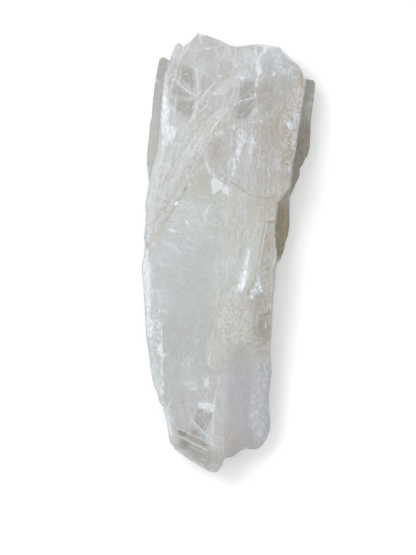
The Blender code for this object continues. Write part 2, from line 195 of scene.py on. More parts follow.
# ---------------------------------------------------------------------------------------------------
# Marks in the crystal, in squares of the same grid. Lines: points, half width, strength. Spots: centre,
# radii, degrees turned clockwise, strength. Patches: outline, strength. Stripes and flakes: outline
# ---------------------------------------------------------------------------------------------------
# The glare line: a low ridge in the relief, and a painted highlight in the colour
GLARE_LINE = [(249, 250), (247, 262), (244, 276), (241, 290)]
FAR_END_VEINS = [
    ([(184.7, 43), (181.8, 54.7), (177.1, 66.3), (174.8, 76.8), (170.8, 86), (169.6, 95.3)], 0.6, 0.80),
    ([(174.8, 47.7), (173.2, 61.7), (168, 69), (165, 80)], 0.6, 0.60),
    ([(178.3, 75.6), (183.5, 81), (188.8, 86)], 0.5, 0.70),
    ([(174.8, 77.2), (179.5, 85), (186, 90.2), (194.6, 95.6)], 0.6, 1.00),
    ([(163.8, 100), (167.9, 105.8), (174.8, 109.3)], 0.6, 0.90),
    ([(169.6, 95.9), (174.8, 98.8), (176.6, 102.3), (174.8, 109.3), (174.8, 120.9)], 0.5, 0.60),
    ([(183, 61.7), (191, 66.9), (200.4, 71), (209.6, 76.8), (214.3, 80.2)], 0.5, 0.50),
    ([(221.3, 44.3), (218.9, 47.2), (207.9, 48.9), (195.7, 51.2), (194, 55.9), (194, 66.3), (196.9, 74.4),
      (197.5, 90.7), (195.7, 102.3), (196.9, 108), (191, 117.4), (187.6, 124.3)], 0.55, 0.75),
    ([(200.4, 74.4), (199.8, 93), (198, 97.6)], 0.5, 0.60),
    ([(214.3, 83.7), (206.2, 91.8), (202.7, 96.5), (196.9, 104.6)], 0.7, 0.80),
    ([(238.7, 80.8), (221.3, 81.4), (215.5, 84.9)], 0.5, 0.50),
    ([(209.6, 93), (206.2, 104.6), (202.7, 109.3), (194, 117.5), (188.8, 123)], 0.6, 0.70),
    ([(206.2, 104.6), (211, 110), (216.6, 116.2)], 0.5, 0.60),
    ([(238.7, 102.3), (223.6, 113.9), (214.3, 126.7), (205, 139.4), (198, 151)], 0.7, 0.70),
    ([(254.9, 97.6), (246, 99.5), (238.7, 102.3)], 0.6, 0.90),
    ([(239.8, 47.7), (239.2, 66.3), (237.5, 76.8), (238.7, 81.4), (238, 93), (236.3, 102.3)], 0.6, 0.85),
    ([(227, 46.6), (232.9, 58.2), (237.5, 65.1)], 0.5, 0.65),
    ([(225.9, 58.8), (234, 60.5)], 0.5, 0.45),
    ([(241, 57), (254.3, 54.1)], 0.5, 0.55),
    ([(199.5, 37), (201.8, 42.8)], 0.9, 0.90),
    ([(196, 35.5), (190, 43), (187, 50)], 0.6, 0.40),
    ([(205, 38), (214, 42), (222, 46), (232, 49.5)], 0.6, 0.35),
    ([(240.5, 70), (243, 79), (247, 81.5)], 0.5, 0.50),
    ([(277.6, 52), (278.7, 77)], 1.2, 0.30),
    ([(307.2, 82.6), (304.8, 92), (302.4, 102.3)], 0.9, 0.80),
    ([(302.4, 102.3), (302, 112), (299.7, 123.5), (298.2, 132), (295, 148.8), (293.2, 165.7), (291.3, 184)],
     0.7, 0.50),
    ([(304.5, 86), (300.5, 108), (297, 128)], 0.8, 0.40),
]
MIDDLE_VEINS_AND_EDGE_HIGHLIGHTS = [
    ([(234.5, 125.8), (247, 123.5), (259.8, 121.2)], 0.7, 0.40),
    ([(215.3, 134.2), (207, 145), (200, 155)], 0.6, 0.50),
    ([(228.8, 187), (228.2, 196), (227.4, 205), (225, 228)], 0.7, 0.42),
    ([(218.6, 254), (218.2, 276), (217, 300)], 0.7, 0.30),
    ([(213, 330), (210, 352), (209, 366)], 0.7, 0.45),
    ([(210, 205), (206, 212), (204.5, 222)], 1.2, 0.50),
    ([(154.8, 262), (160, 266), (162.7, 269.5)], 0.6, 0.45),
    ([(160.5, 258), (162, 268)], 0.6, 0.40),
    ([(172, 243), (177, 249), (179, 256)], 0.9, 0.35),
    ([(254, 197), (253.6, 214)], 0.6, 0.35),
    # Painted highlights: this line is the lit edge of the shelf's step, and the next the lit right edge of
    # the body
    ([(266.7, 223), (267.2, 227.8), (264.8, 233.5), (263.3, 241), (261.9, 251.7), (260, 261.2), (258, 270.8),
      (257, 276.6)], 0.9, 0.60),
    ([(274.8, 225), (275.8, 231.6), (274.3, 242), (276.7, 248.8), (274.3, 252.6), (276.2, 255.5),
      (273.4, 263), (272.4, 269)], 0.8, 0.40),
    ([(250.4, 288), (251.8, 299)], 0.8, 0.60),
    ([(270.5, 304), (270.8, 308.5)], 0.7, 0.90),
    ([(265.7, 322), (265.6, 326.5)], 0.6, 0.80),
    ([(269.6, 316.5), (269.4, 322.5)], 0.7, 0.80),
    ([(251.3, 314), (251.2, 334)], 0.5, 0.55),
    ([(257.4, 317), (257.3, 334)], 0.5, 0.35),
]
NEAR_END_VEINS = [
    ([(146.5, 345), (148.5, 360), (152, 376), (157, 393)], 0.9, 0.50),
    ([(161.4, 330), (161.8, 352), (162, 376)], 0.6, 0.85),
    ([(196.6, 342), (201.2, 337.5)], 0.6, 0.50),
    ([(198.6, 405.4), (193.8, 415.2), (191.7, 420), (183.9, 429.9)], 0.5, 0.60),
    ([(193.1, 420.8), (195.9, 425), (201.5, 430.6), (205.7, 435.5)], 0.6, 0.95),
    ([(198, 414), (203, 420), (207, 427)], 0.7, 0.45),
    ([(202, 412.6), (206, 418), (209, 423)], 0.6, 0.35),
    ([(178.5, 429), (196, 436.8), (209.9, 444.2)], 0.5, 0.80),
    ([(177.5, 435.2), (188.2, 440.4), (208, 450.6)], 0.5, 0.85),
    ([(179, 437.4), (192, 443.8), (206, 451.4)], 0.4, 0.45),
    ([(191, 447), (203, 453.6), (212, 458.6)], 0.5, 0.40),
    ([(205, 411.2), (208.5, 412.8)], 0.8, 1.00),
    ([(201.5, 459), (206, 461)], 0.7, 0.60),
    ([(171.5, 444), (180, 452.5), (190, 459), (204, 467.5)], 0.7, 0.65),
    ([(219.5, 378), (216.4, 392), (213.6, 404), (213, 424), (212.4, 448)], 0.7, 0.80),
]
STAIN_LINES = [
    ([(283.9, 87.2), (283.6, 93), (284.1, 100), (283.6, 110)], 0.6, 0.85),
    ([(282, 111.4), (281.4, 113.8)], 1.0, 0.70), ([(278.4, 112.6), (277.6, 115)], 0.9, 0.75),
    ([(280, 117.6), (279.2, 119)], 0.9, 0.60), ([(277.2, 119.4), (276.6, 122)], 0.9, 0.90),
    ([(281.5, 121.6), (285.4, 122)], 1.0, 0.50), ([(274.4, 126), (273.6, 129)], 0.9, 0.50),
    ([(300.8, 72.1), (302.5, 80), (300.8, 86), (304.8, 87.8), (307.7, 82.6)], 1.0, 1.00),
    ([(296.5, 80.2), (301, 83.5)], 0.8, 0.80),
    ([(305.5, 92), (303.5, 99), (302.4, 104.5)], 0.8, 0.80),
    ([(302, 103), (302.6, 105)], 1.0, 0.80),
    ([(302, 113.5), (306, 115)], 0.9, 0.90),
    ([(292, 129.6), (296, 129.4)], 0.8, 0.80),
    ([(291, 133), (290, 144), (288, 156)], 0.9, 0.40),
    ([(276.7, 178.7), (276.4, 196), (276, 221)], 0.7, 0.45),
    ([(233, 183.3), (235.6, 184.8), (238.3, 187.2)], 0.7, 0.95),
    ([(238.3, 187.2), (244.5, 191), (249.8, 194.8), (253.7, 197)], 0.6, 0.45),
    ([(242.6, 190.2), (246, 192)], 1.0, 0.80),
    ([(260.6, 197), (265.2, 197.9), (268.3, 198.7), (270.6, 196.4), (275.9, 195.6)], 0.8, 0.75),
    ([(261, 221.5), (268, 221.9), (275.5, 221)], 0.9, 0.95),
    ([(270.8, 222), (275.4, 222)], 1.3, 0.90),
    ([(264.4, 223), (263.8, 230), (262, 238), (261, 248), (259, 260)], 1.0, 0.60),
    ([(252.6, 283), (249.4, 288), (247.6, 291.4), (249.4, 295)], 1.3, 0.70),
    ([(272.4, 270), (276, 270.6)], 0.9, 0.80),
    ([(256, 296.8), (262, 295.8)], 0.7, 0.75),
    ([(261, 315.8), (266.7, 314.4), (272, 312.4)], 0.9, 1.00),
    ([(266, 314.4), (272.2, 312.6)], 1.5, 0.90),
    ([(272.4, 316), (272, 340), (271, 352)], 0.7, 0.60),
    ([(257, 347), (263, 343.6), (270, 339)], 1.1, 0.55),
    ([(172.6, 162.8), (163.7, 184.5), (158.8, 200.3), (154.8, 218), (152.8, 234)], 0.8, 0.40),
    ([(178, 163), (170, 180), (163.5, 200), (158, 218)], 0.8, 0.35),
    ([(203.2, 157.8), (191.4, 176.6), (184.5, 190.5), (177.5, 202.3), (172.6, 211.2), (162.7, 226),
      (155.8, 236.9)], 0.6, 0.45),
    ([(185.6, 188), (184.8, 190.6)], 1.1, 1.00),
    ([(178.6, 199.6), (176.9, 201)], 1.0, 1.00),
    ([(173, 209.4), (172, 211)], 1.0, 1.00),
    ([(186.5, 166), (184, 172), (180.3, 180)], 0.7, 0.50),
    ([(147.2, 244.6), (147.6, 247)], 1.6, 0.80),
    ([(149.9, 251.7), (147.5, 258)], 0.8, 0.40),
    ([(210, 131), (203, 143), (198, 153)], 0.7, 0.35),
    ([(170.5, 60), (166.5, 58)], 0.9, 0.60),
    ([(200, 428), (196, 433), (191, 436)], 1.6, 0.45),
    ([(226, 433), (225.2, 444), (225, 455)], 0.7, 0.60),
]
CLEAR_WINDOWS = [
    ([(177.3, 71.5), (182.2, 67.4), (188.2, 68), (193.3, 70), (194.5, 78.5), (193.8, 92), (185.6, 84.2),
      (178, 77.2)], 0.85),
    ([(170.9, 82.5), (176, 85), (185.6, 91.6), (192.6, 96.3), (193, 99), (183, 98), (175.5, 97),
      (170.3, 92.5)], 0.75),
    ([(177.3, 100.2), (193.3, 100.2), (195, 106), (190.7, 116.5), (183.7, 115.8), (176, 110)], 0.80),
    ([(199, 76), (211.1, 77.2), (212.4, 84.9), (204.8, 91.2), (200.6, 90.6)], 0.35),
    ([(204, 50), (213, 50), (216, 60), (206, 62)], 0.35),
    ([(190, 47), (198, 36), (214, 42), (228, 48), (214, 49), (200, 48)], 0.30),
    ([(239.7, 99.6), (239.2, 87.8), (246, 81.4), (254.3, 82.4), (254.6, 91), (249.2, 98.8), (243, 101.2)],
     0.80),
    ([(238.2, 117.8), (236, 108.5), (241, 104), (250, 101), (255, 101.4), (253, 109), (249.2, 115.5),
      (244, 119.4)], 1.00),
    ([(258, 84), (274, 86), (278, 98), (272, 111), (262, 112), (257.5, 100)], 0.50),
    ([(264, 56), (272, 53), (276, 62), (273, 74), (263, 74), (263, 64)], 0.35),
    ([(178.5, 437), (184, 438.5), (190.5, 444), (192, 450), (187, 452), (181, 446)], 0.85),
    ([(192, 446), (208, 453), (204, 460), (194, 455)], 0.35),
    ([(208, 140), (222, 138), (222, 158), (212, 160), (206, 150)], 0.30),
]
CLEAR_STRIPES = [
    [(178.3, 430.2), (196, 438), (209.9, 445.6), (208, 450), (188.2, 439.8), (178, 434.8)],
    [(194.1, 414.5), (198.4, 406.8), (211.4, 412.6), (212.6, 418), (208.4, 426), (204.8, 432),
     (198, 426.4), (194.2, 420)],
    [(189.6, 429.4), (193.4, 428), (197.4, 431.6), (202, 436.2), (198, 437.4), (192, 434.6)],
]
# White bruises, and painted highlights: small strong spots near (240, 77), (250, 95), (261, 121) and round
# (256, 287) are painted glints, and those from (248.6, 252) to (243.2, 284) are the glare line's painted
# highlight
WHITE_BRUISES_AND_HIGHLIGHTS = [
    (267, 47.4, 5, 1.8, 4, 0.70), (164.3, 100, 2.2, 10, 3, 1.10), (280, 53, 7, 5, 30, 0.50),
    (287, 60, 4, 4, 30, 0.45), (273.6, 74.8, 1.4, 1.1, 0, 0.85), (271.6, 76.4, 0.9, 0.8, 0, 0.70),
    (275.2, 66.3, 2, 1.8, 0, 0.60), (239.4, 77, 1.8, 1.3, 20, 1.15), (241.8, 79.2, 1.5, 1.8, 0, 0.85),
    (243.4, 77, 1, 1, 0, 0.80), (236.6, 66.4, 1.4, 1.2, 0, 0.90), (206.3, 93.5, 2.2, 2, 0, 0.75),
    (208.3, 49.1, 1.1, 1.8, 0, 1.0), (217.8, 117.5, 1.4, 1.3, 0, 1.0), (250.3, 94.7, 0.8, 0.8, 0, 0.90),
    (261.3, 121.4, 1.2, 2, 0, 1.00), (255.5, 111, 3.6, 6, 10, 0.62), (262, 108, 3, 4, 0, 0.35),
    (285, 122, 4, 2, 10, 0.60), (313, 94, 1.8, 1.8, 0, 0.80), (310.8, 102.5, 3, 4, 0, 0.55),
    (309.5, 116, 2, 4, 0, 0.40), (299, 97, 2.6, 9, 6, 0.42), (295, 112, 2.6, 8, 4, 0.38),
    (269, 174, 1.3, 1.4, 0, 0.90), (268, 171, 5, 6, 0, 0.30), (279, 152, 3, 4, 0, 0.30),
    (213.5, 170, 1.6, 1.6, 0, 0.40), (221, 171, 3, 1.6, 20, 0.45), (192.4, 175.6, 1.2, 1.6, 0, 1.00),
    (189.4, 184.6, 1.2, 1.6, 0, 0.90), (176.5, 203, 1.5, 2.2, 25, 1.30), (175.6, 179.6, 1.2, 1.2, 0, 0.80),
    (187.4, 162.8, 1.3, 1.4, 0, 0.80), (177.6, 155, 1.3, 1.2, 0, 0.80), (183.4, 174.6, 1.2, 1.2, 0, 0.60),
    (153.4, 166.8, 1.2, 1.6, 0, 0.80), (155.4, 237.4, 1.4, 1.4, 0, 0.95), (152.7, 245, 2, 3, 25, 0.60),
    (221.8, 178.6, 2, 1.4, 20, 0.80), (158, 162, 1.6, 4, 10, 0.60), (171, 230, 4.4, 2.2, 15, 0.75),
    (179, 232, 3.4, 1.4, 20, 0.45), (170, 245, 7, 4, 20, 0.40), (187, 222, 2.4, 1.4, 0, 0.50),
    (196.5, 230, 2, 1.4, 0, 0.45), (163, 257, 6, 4, 0, 0.30), (160, 296, 8, 8, 0, 0.38),
    (150, 290, 4, 9, 0, 0.40), (205, 216, 2.6, 7, 12, 0.30), (243.2, 284, 1.8, 5, 8, 1.15),
    (248.6, 252, 0.9, 2, 5, 1.00), (247.6, 259, 0.8, 1.6, 5, 1.00), (245, 273, 1.5, 4, 8, 1.15),
    (240, 278, 1.2, 1.6, 0, 0.60), (257.6, 279, 1, 1.8, 10, 1.15), (256.4, 284.4, 1.5, 2, 10, 1.30),
    (259.8, 287, 1.5, 1.3, 0, 1.30), (255.4, 289.6, 1.5, 1.7, 0, 1.20), (252.4, 291.4, 1.2, 1.8, 0, 1.20),
    (251.4, 297, 1.3, 2.2, 0, 1.25), (259.2, 282.6, 1, 1.1, 0, 1.10), (261, 291, 1.5, 1, 0, 1.05),
    (165.4, 354.5, 3.2, 1.8, 0, 0.55), (189, 362, 6, 7, 20, 0.32), (191, 385.5, 8, 4.4, 20, 0.40),
    (182, 383, 2, 1.4, 0, 0.50), (191.3, 390, 1, 1, 0, 0.80), (169.5, 404, 2, 1.6, 0, 0.50),
    (166.5, 412, 2.2, 1.4, 0, 0.50), (258, 386, 3.4, 6, 10, 0.42), (254, 400, 4.4, 9, 0, 0.38),
    (262, 396, 3.4, 11, 0, 0.38), (252, 416, 3, 4.4, 0, 0.50), (260, 434, 4.4, 5.4, -20, 0.70),
    (263, 425, 4, 4, 0, 0.50), (267, 380, 2.4, 9, 0, 0.35), (245.7, 448.9, 1.5, 1.2, 0, 1.00),
    (211, 471.5, 2.4, 1.6, 0, 0.60), (216, 436, 1.2, 1.2, 0, 0.60), (151, 372, 3, 8, -15, 0.55),
    (148.5, 358, 2.4, 7, -5, 0.45), (155, 383, 4, 5.4, -20, 0.60), (146.5, 270, 3.5, 13, 0, 0.55),
    (147.5, 285, 2.6, 9, 0, 0.50), (148, 232, 3, 9, 0, 0.35), (253, 60, 2.4, 7, 0, 0.30),
    (246, 72, 4, 6, 0, 0.28), (245, 215, 3, 11, 8, 0.28), (236, 236, 3, 9, 8, 0.32),
    (231, 262, 3, 9, 0, 0.36), (222, 204, 1.6, 1.6, 0, 0.50), (234, 250, 1.4, 1.4, 0, 0.50),
    (154, 100, 1.2, 1.4, 0, 0.80), (156.8, 80, 1.4, 3, 0, 0.80), (228, 268, 2, 8, 0, 0.36),
]
WARM_TONE = [
    (262, 145, 12, 26, 3, 0.50), (274, 130, 10, 26, 3, 0.95), (284, 140, 9, 36, 4, 1.00),
    (256, 208, 8, 12, 0, 0.50), (297, 100, 8, 22, 6, 0.85), (300, 84, 6, 9, 0, 1.00),
    (289, 155, 6, 16, 4, 1.00), (240, 308, 15, 16, 20, 0.60), (263, 330, 9, 16, 0, 0.90),
    (224, 398, 7, 40, 3, 0.15), (223, 118, 12, 16, 30, 0.55), (205, 120, 18, 14, -50, 0.45),
    (215, 150, 12, 12, 0, 0.70), (272, 180, 14, 25, 0, 0.50), (270, 98, 13, 16, 0, 0.60),
    (178, 170, 14, 40, 28, 0.20), (200, 182, 8, 12, 10, 0.50), (160, 225, 10, 30, 18, 0.42),
    (268, 245, 8, 30, 0, 0.55), (225, 62, 14, 16, 0, 0.30), (226, 90, 12, 18, 0, 0.35),
    (190, 78, 4, 9, -20, 0.70), (240, 335, 12, 22, 0, 0.40), (150, 331, 5, 11, 5, 0.40),
    (236, 440, 10, 10, 0, 0.40), (232, 222, 10, 34, 0, 0.40), (268, 208, 9, 16, 0, 0.75),
    (262, 346, 10, 8, 0, 0.60), (266, 246, 3, 26, 8, 0.80), (275, 250, 3, 28, 0, 0.90),
    (268, 300, 9, 20, 0, 0.60), (284, 222, 8, 34, 0, 1.00), (280, 190, 12, 16, 0, 0.80),
    (255, 322, 12, 14, 0, 0.60),
]
DIM_PLACES = [
    (183, 345, 22, 26, 0, 0.40), (264, 330, 8, 15, 0, 0.95), (268, 120, 14, 14, 0, 0.35),
    (217, 150, 9, 14, -10, 0.45), (258, 170, 24, 16, 0, 0.25), (200, 453, 20, 8, 30, 0.60),
    (240, 360, 8, 9, 0, 0.25), (207, 189, 9, 12, 0, 0.25), (192.8, 82.5, 2, 4.6, 0, 1.00),
    (199.4, 93, 1.4, 5, 0, 0.60), (262, 303, 9, 10, 0, 0.60), (182.5, 402.5, 1.4, 1.2, 0, 0.90),
    (261, 294.3, 1.4, 1.4, 0, 1.00), (222.5, 362.5, 1.6, 1.4, 0, 0.50), (230, 365, 1.6, 1.4, 0, 0.50),
    (236, 455, 8, 5, 0, 0.30), (146.6, 237.6, 3.4, 1.0, 12, 0.80), (276, 105, 8, 8, 0, 0.30),
    (286, 100, 6, 12, 0, 0.20), (181, 432.6, 4, 3.2, 24, 0.80), (184, 443, 5, 6, 30, 0.50),
    (284, 158, 12, 32, 4, 0.62), (270, 130, 11, 34, 0, 0.50), (272, 160, 16, 18, 0, 0.55),
    (290, 154, 7, 24, 4, 0.82), (154, 212, 5, 12, 0, 0.30), (243, 126, 10, 26, 0, 0.28),
    (262, 178, 16, 18, 0, 0.30), (256, 102, 8, 10, 0, 0.30), (270, 206, 7, 14, 0, 0.25),
]
SHADY_PLACES = [
    (264, 328, 8, 15, 0, 0.45), (262, 303, 9, 10, 0, 0.18), (200, 451, 16, 10, 30, 0.42),
    (268, 242, 6, 18, 0, 0.12), (274, 122, 10, 26, 3, 0.12), (268, 96, 10, 12, 0, 0.10),
    (186, 440, 13, 12, 25, 0.36), (182, 433.5, 5, 3.4, 24, 0.90), (185, 445, 5.4, 5.4, 30, 0.80),
    (194.5, 433.5, 4.6, 4, 30, 0.40), (203, 444, 7, 3.4, 28, 0.46), (268, 304, 8, 14, 0, 0.24),
    (270, 272, 6, 20, 0, 0.12), (289, 156, 7, 26, 4, 0.30), (202, 418, 6, 8, 10, 0.22),
]
# Pale places: lighter milk, and painted highlights where a face catches the light, such as the left bevel
# near (147, 284) and beside the glare line
PALE_AND_HIGHLIT_PLACES = [
    (196, 41, 12, 5, -50, 0.45), (218, 272, 8, 34, 0, 0.28), (249, 294, 8, 10, 0, 0.34),
    (156, 190, 7, 46, 8, 0.78), (147, 284, 5, 30, -3, 1.00), (186, 145, 17, 20, -30, 0.78),
    (196, 132, 12, 16, -35, 0.35), (231, 265, 13, 26, -8, 0.50), (186, 216, 24, 16, 0, 0.35),
    (152, 355, 5, 36, -8, 0.35), (166, 250, 20, 18, 0, 0.30), (248, 262, 6, 26, 10, 0.70),
    (178, 232, 20, 20, 0, 0.25), (232, 300, 9, 16, 0, 0.35), (257, 234, 5, 16, 6, 0.55),
    (286, 56, 12, 10, -35, 0.80), (240, 152, 12, 24, 0, 0.30), (234, 212, 10, 22, 6, 0.45),
    (232, 240, 8, 20, 6, 0.50), (170, 205, 6, 30, 25, 0.15), (192, 150, 10, 25, 30, 0.35),
    (170, 176, 12, 32, 28, 0.80), (247, 285, 10, 14, 0, 0.35), (209, 438, 3.6, 9, 0, 0.82),
    (212, 428, 2.4, 8, 0, 0.80), (188, 368, 9, 12, 0, 0.25), (176, 452, 14, 2.4, 40, 0.70),
    (200, 468, 10, 2.4, 30, 0.30), (164, 300, 12, 16, 0, 0.30), (227, 355, 8, 30, 0, 0.40),
    (248, 62, 9, 14, 0, 0.45), (268, 58, 15, 14, 0, 0.74), (259, 425, 7, 22, 0, 0.35),
    (150, 326, 5, 14, 0, 0.93), (164, 88, 5, 16, 5, 0.40), (258, 395, 8, 26, 0, 0.30),
    (222, 395, 6, 36, 3, 0.50), (170, 425, 5, 22, -18, 0.60), (232, 320, 14, 18, 0, 0.30),
    (210, 60, 24, 13, 0, 0.45), (312, 100, 4, 14, 5, 0.40), (284, 68, 10, 13, 0, 0.60),
    (221, 106, 14, 17, 25, 0.83), (198, 43, 10, 8, 0, 0.83), (230, 56, 10, 9, 0, 0.74),
    (240, 86, 6, 9, 0, 0.55), (147, 280, 5.4, 26, 0, 1.00), (184, 142, 12, 16, -30, 0.30),
    (244, 276, 6, 18, 8, 0.50), (205, 232, 10, 10, 0, 0.25),
]
SILKY_PLACES = [
    (190, 216, 30, 24, 0, 0.95), (172, 262, 24, 34, 0, 0.45), (186, 240, 22, 18, 0, 0.75),
    (186, 360, 20, 26, 0, 0.35),
]
WHITE_BANDS_AND_GLINTS = [
    ([(165.5, 69), (168, 76), (167.6, 84), (168.6, 94), (168.8, 104), (169, 118), (168.5, 126), (165, 132),
      (161, 132), (160.4, 122), (161, 109), (162.6, 93), (164.4, 80)], 0.94),
    ([(161.5, 120), (168, 119), (171, 125.5), (176, 125), (178.4, 130), (174.8, 138.5), (168, 147),
      (164.8, 146), (161.3, 139)], 0.88),
    ([(160.8, 146), (165, 147), (163.5, 156), (160.5, 165), (157.5, 168), (158.2, 158)], 0.60),
    ([(253.8, 44), (257, 44), (257.6, 54), (255.6, 58.5), (254, 53)], 0.85),
    ([(262, 45), (269, 46), (265, 51.5), (262.4, 56.5), (259.4, 60.5), (257.6, 58), (260.4, 51.5)], 0.90),
    ([(256.4, 61.5), (259.5, 58.6), (262.6, 60.6), (263.1, 66.3), (262.4, 73.4), (259, 76), (257.2, 87),
      (255.6, 86), (256.6, 75), (255.2, 67)], 0.95),
    ([(236.2, 73), (239.5, 73.5), (243, 77.5), (241.4, 81.5), (236.4, 80.5)], 0.70),
    ([(236.6, 128.5), (240.6, 127.6), (246.2, 131), (248.8, 135), (247.2, 140), (243.2, 145.4),
      (240.4, 152), (240, 158), (237.4, 165.7), (236, 174), (234.2, 180), (230.4, 181.4), (232.6, 171.8),
      (232, 161), (233.2, 156), (235.6, 150), (237.2, 144), (237.8, 137)], 0.66),
    ([(231.4, 158), (237, 157), (237, 168), (235.4, 177), (230.6, 180), (232, 168)], 0.92),
    ([(235.4, 149), (241, 149), (240, 160), (237.6, 167), (235.6, 160)], 0.88),
    ([(249.6, 133), (255.4, 137), (255.6, 144.4), (253.2, 152), (251, 158.4), (249, 161), (247.5, 156),
      (249.4, 146.5), (250.2, 138.8)], 0.68),
    ([(259.8, 137), (262.4, 138), (261.8, 145), (259.6, 151), (257.4, 150.5), (259, 144)], 0.45),
    ([(256.2, 154.5), (260.2, 155), (260, 162), (258.4, 166.5), (256.4, 164)], 0.62),
    ([(228, 155), (232.4, 155.5), (233, 163), (231.8, 171.5), (228.6, 170.5), (229.2, 163)], 0.50),
    ([(202.4, 160.2), (204.4, 160.2), (209, 164.8), (213.6, 171.6), (217, 178), (213.2, 178.8),
      (209, 172.6), (205.6, 166)], 0.95),
    ([(215.5, 132), (219, 130.6), (224.2, 130.8), (223.6, 134.2), (219, 136), (215.4, 135.2)], 0.70),
    ([(225.6, 129), (230, 126), (235.4, 124.6), (234.6, 128.2), (228, 130.6)], 0.60),
    ([(286, 122), (291, 123), (295.6, 128.5), (291.5, 130.6), (288, 127.4)], 0.90),
    ([(290, 131), (296, 130.6), (296.4, 146), (293.4, 152), (290.6, 146), (292.6, 138)], 0.60),
    ([(283, 168.4), (287, 165), (291.6, 165.6), (290.4, 171), (285, 172.4)], 0.50),
    # Painted glints: the sparkling cluster below the glare line
    ([(256, 275.4), (259, 275.4), (262.4, 285), (262.4, 291.5), (256.4, 292), (252.8, 300), (249.6, 299),
      (251.2, 291.5), (254.4, 285)], 0.60),
    ([(157, 308.6), (168.6, 310.6), (168.2, 312.4), (157, 311.6)], 0.62),
    ([(161.4, 316), (167.4, 318), (166.4, 321.4), (161.4, 322)], 0.45),
    ([(155, 319.8), (161, 320.4), (162.8, 326), (161.6, 334), (158.6, 330)], 0.66),
    ([(159.2, 332), (162.4, 332), (162.2, 342.6), (158.8, 341.6)], 0.90),
    ([(157.8, 343), (161.8, 343), (162.2, 358), (158, 353)], 1.00),
    ([(160.6, 356), (162.8, 356), (162.6, 375.4), (159.2, 375.4), (159.8, 366)], 0.80),
    ([(157, 377), (163, 378), (163.4, 394), (160.2, 397.6), (156.6, 390)], 0.80),
    ([(156.6, 396), (162.4, 396.6), (164.4, 406), (160.6, 404)], 0.60),
    ([(164.6, 406), (168.8, 407), (171, 420), (174.6, 432), (178, 444), (174, 448), (169.6, 436),
      (166.6, 422)], 0.50),
    ([(198.2, 407.6), (199.2, 402), (205, 400), (211, 401.6), (215, 397), (215.6, 408), (213.8, 413),
      (207.6, 410.8), (203, 408)], 0.78),
    ([(203.8, 378), (208.4, 377.6), (209.6, 384), (208.4, 393), (206.2, 388)], 0.80),
    ([(207.2, 355.4), (210.4, 356), (210, 365), (207.6, 364.4)], 0.55),
]
CLEAVAGE_FLAKES = [
    [(211.3, 179.4), (216, 177.8), (223.8, 184), (220.8, 188.6), (212.6, 195), (211, 185)],
    [(221, 189.6), (226, 184.7), (229, 189.5), (229, 195.6), (224.5, 193.5)],
    [(254, 95.8), (255.3, 91.4), (256.8, 95.8), (255.4, 97.4)],
]
FROSTED_PATCHES = [
    ([(144, 255), (152, 262), (154, 306), (162, 320), (162, 403), (158, 398), (150, 372), (146, 330)], 0.75),
    ([(268, 352), (254, 362), (252, 400), (248, 420), (256, 446), (268, 440), (271, 400)], 0.66),
    ([(266, 46), (284, 48), (300, 64), (302, 76), (294, 84), (284, 72), (274, 62)], 0.70),
    ([(294, 80), (306, 84), (299, 128), (292, 165), (284, 165), (286, 120)], 0.65),
    ([(240, 52), (256, 50), (256, 80), (241, 82)], 0.45),
    ([(257, 222), (275, 222), (272, 300), (252, 296), (256, 278)], 0.12),
    ([(226, 290), (252, 288), (252, 330), (246, 345), (222, 342), (218, 315)], 0.42),
    ([(250, 334), (271, 334), (270, 352), (248, 356)], 0.35),
    ([(163, 62), (178, 46), (180, 60), (172, 90), (164, 96)], 0.45),
    ([(147, 200), (160, 165), (178, 158), (172, 190), (152, 245), (146, 244)], 0.35),
    ([(164, 405), (170, 405), (178, 444), (172, 446)], 0.50),
]

# Grid of the top surface: cells along the blade, and across each strip between two of its long edges. The
# underside has one cell for every UNDER_CELL of them each way
ROWS = 440
CELLS_ACROSS = (10, 8, 128, 8, 14)
COLUMNS = sum(CELLS_ACROSS)
STRIP_STARTS = np.concatenate([[0], np.cumsum(CELLS_ACROSS)])
LEFT_FOOT, BODY_LEFT, BODY_RIGHT, RIGHT_FOOT = STRIP_STARTS[1:5]
UNDER_CELL = 4
UNDER_ROWS, UNDER_COLUMNS = ROWS // UNDER_CELL, COLUMNS // UNDER_CELL

# Heights of the joints between the wall's layers
LAYER_HEIGHTS = (29.0, 25.3, 21.5, 17.2, 12.6, 7.5)

# How far a fibre runs across for each millimetre along the blade, and the same as an angle
FIBRE_SLOPE = 0.0934
FIBRE_TURN = -round(float(np.arctan(FIBRE_SLOPE)), 4)

# How far the outline stands out past its drawn edges
OUTLINE_SWELL = 0.5

# Where along the blade each side's ledge comes out from under the body
LEFT_LEDGE_START, RIGHT_LEDGE_START = 49.0, -4.0

# How far inside or outside a crisp patch its depth is followed
DEEPEST_PATCH = 2.0


# ---------------------------------------------------------------------------------------------------
# Shape helpers: whole arrays, with no loop over points. In every grain below, the number before it is its
# height and those under x and y are the size of its cells, in millimetres. Then come its seed and how many
# octaves it has
# ---------------------------------------------------------------------------------------------------
def from_grid(points):
    """Points of the drawing grid as places across and along the blade, in millimetres."""
    middle_x, middle_y = GRID_MIDDLE
    return [((x - middle_x) * GRID_SQUARE, (middle_y - y) * GRID_SQUARE) for x, y in points]


def fade(distance, width):
    """Smooth step: 0 below minus half the width, 1 above plus half, and 3t squared - 2t cubed between."""
    t = np.clip(distance / width + 0.5, 0.0, 1.0)
    return t * t * (3.0 - 2.0 * t)


def bell(distance, width):
    """Bell curve: e to minus the square of distance over width."""
    return np.exp(-((distance / width) ** 2))


def blend(a, b, share):
    """Straight blend from a to b."""
    return a + (b - a) * share


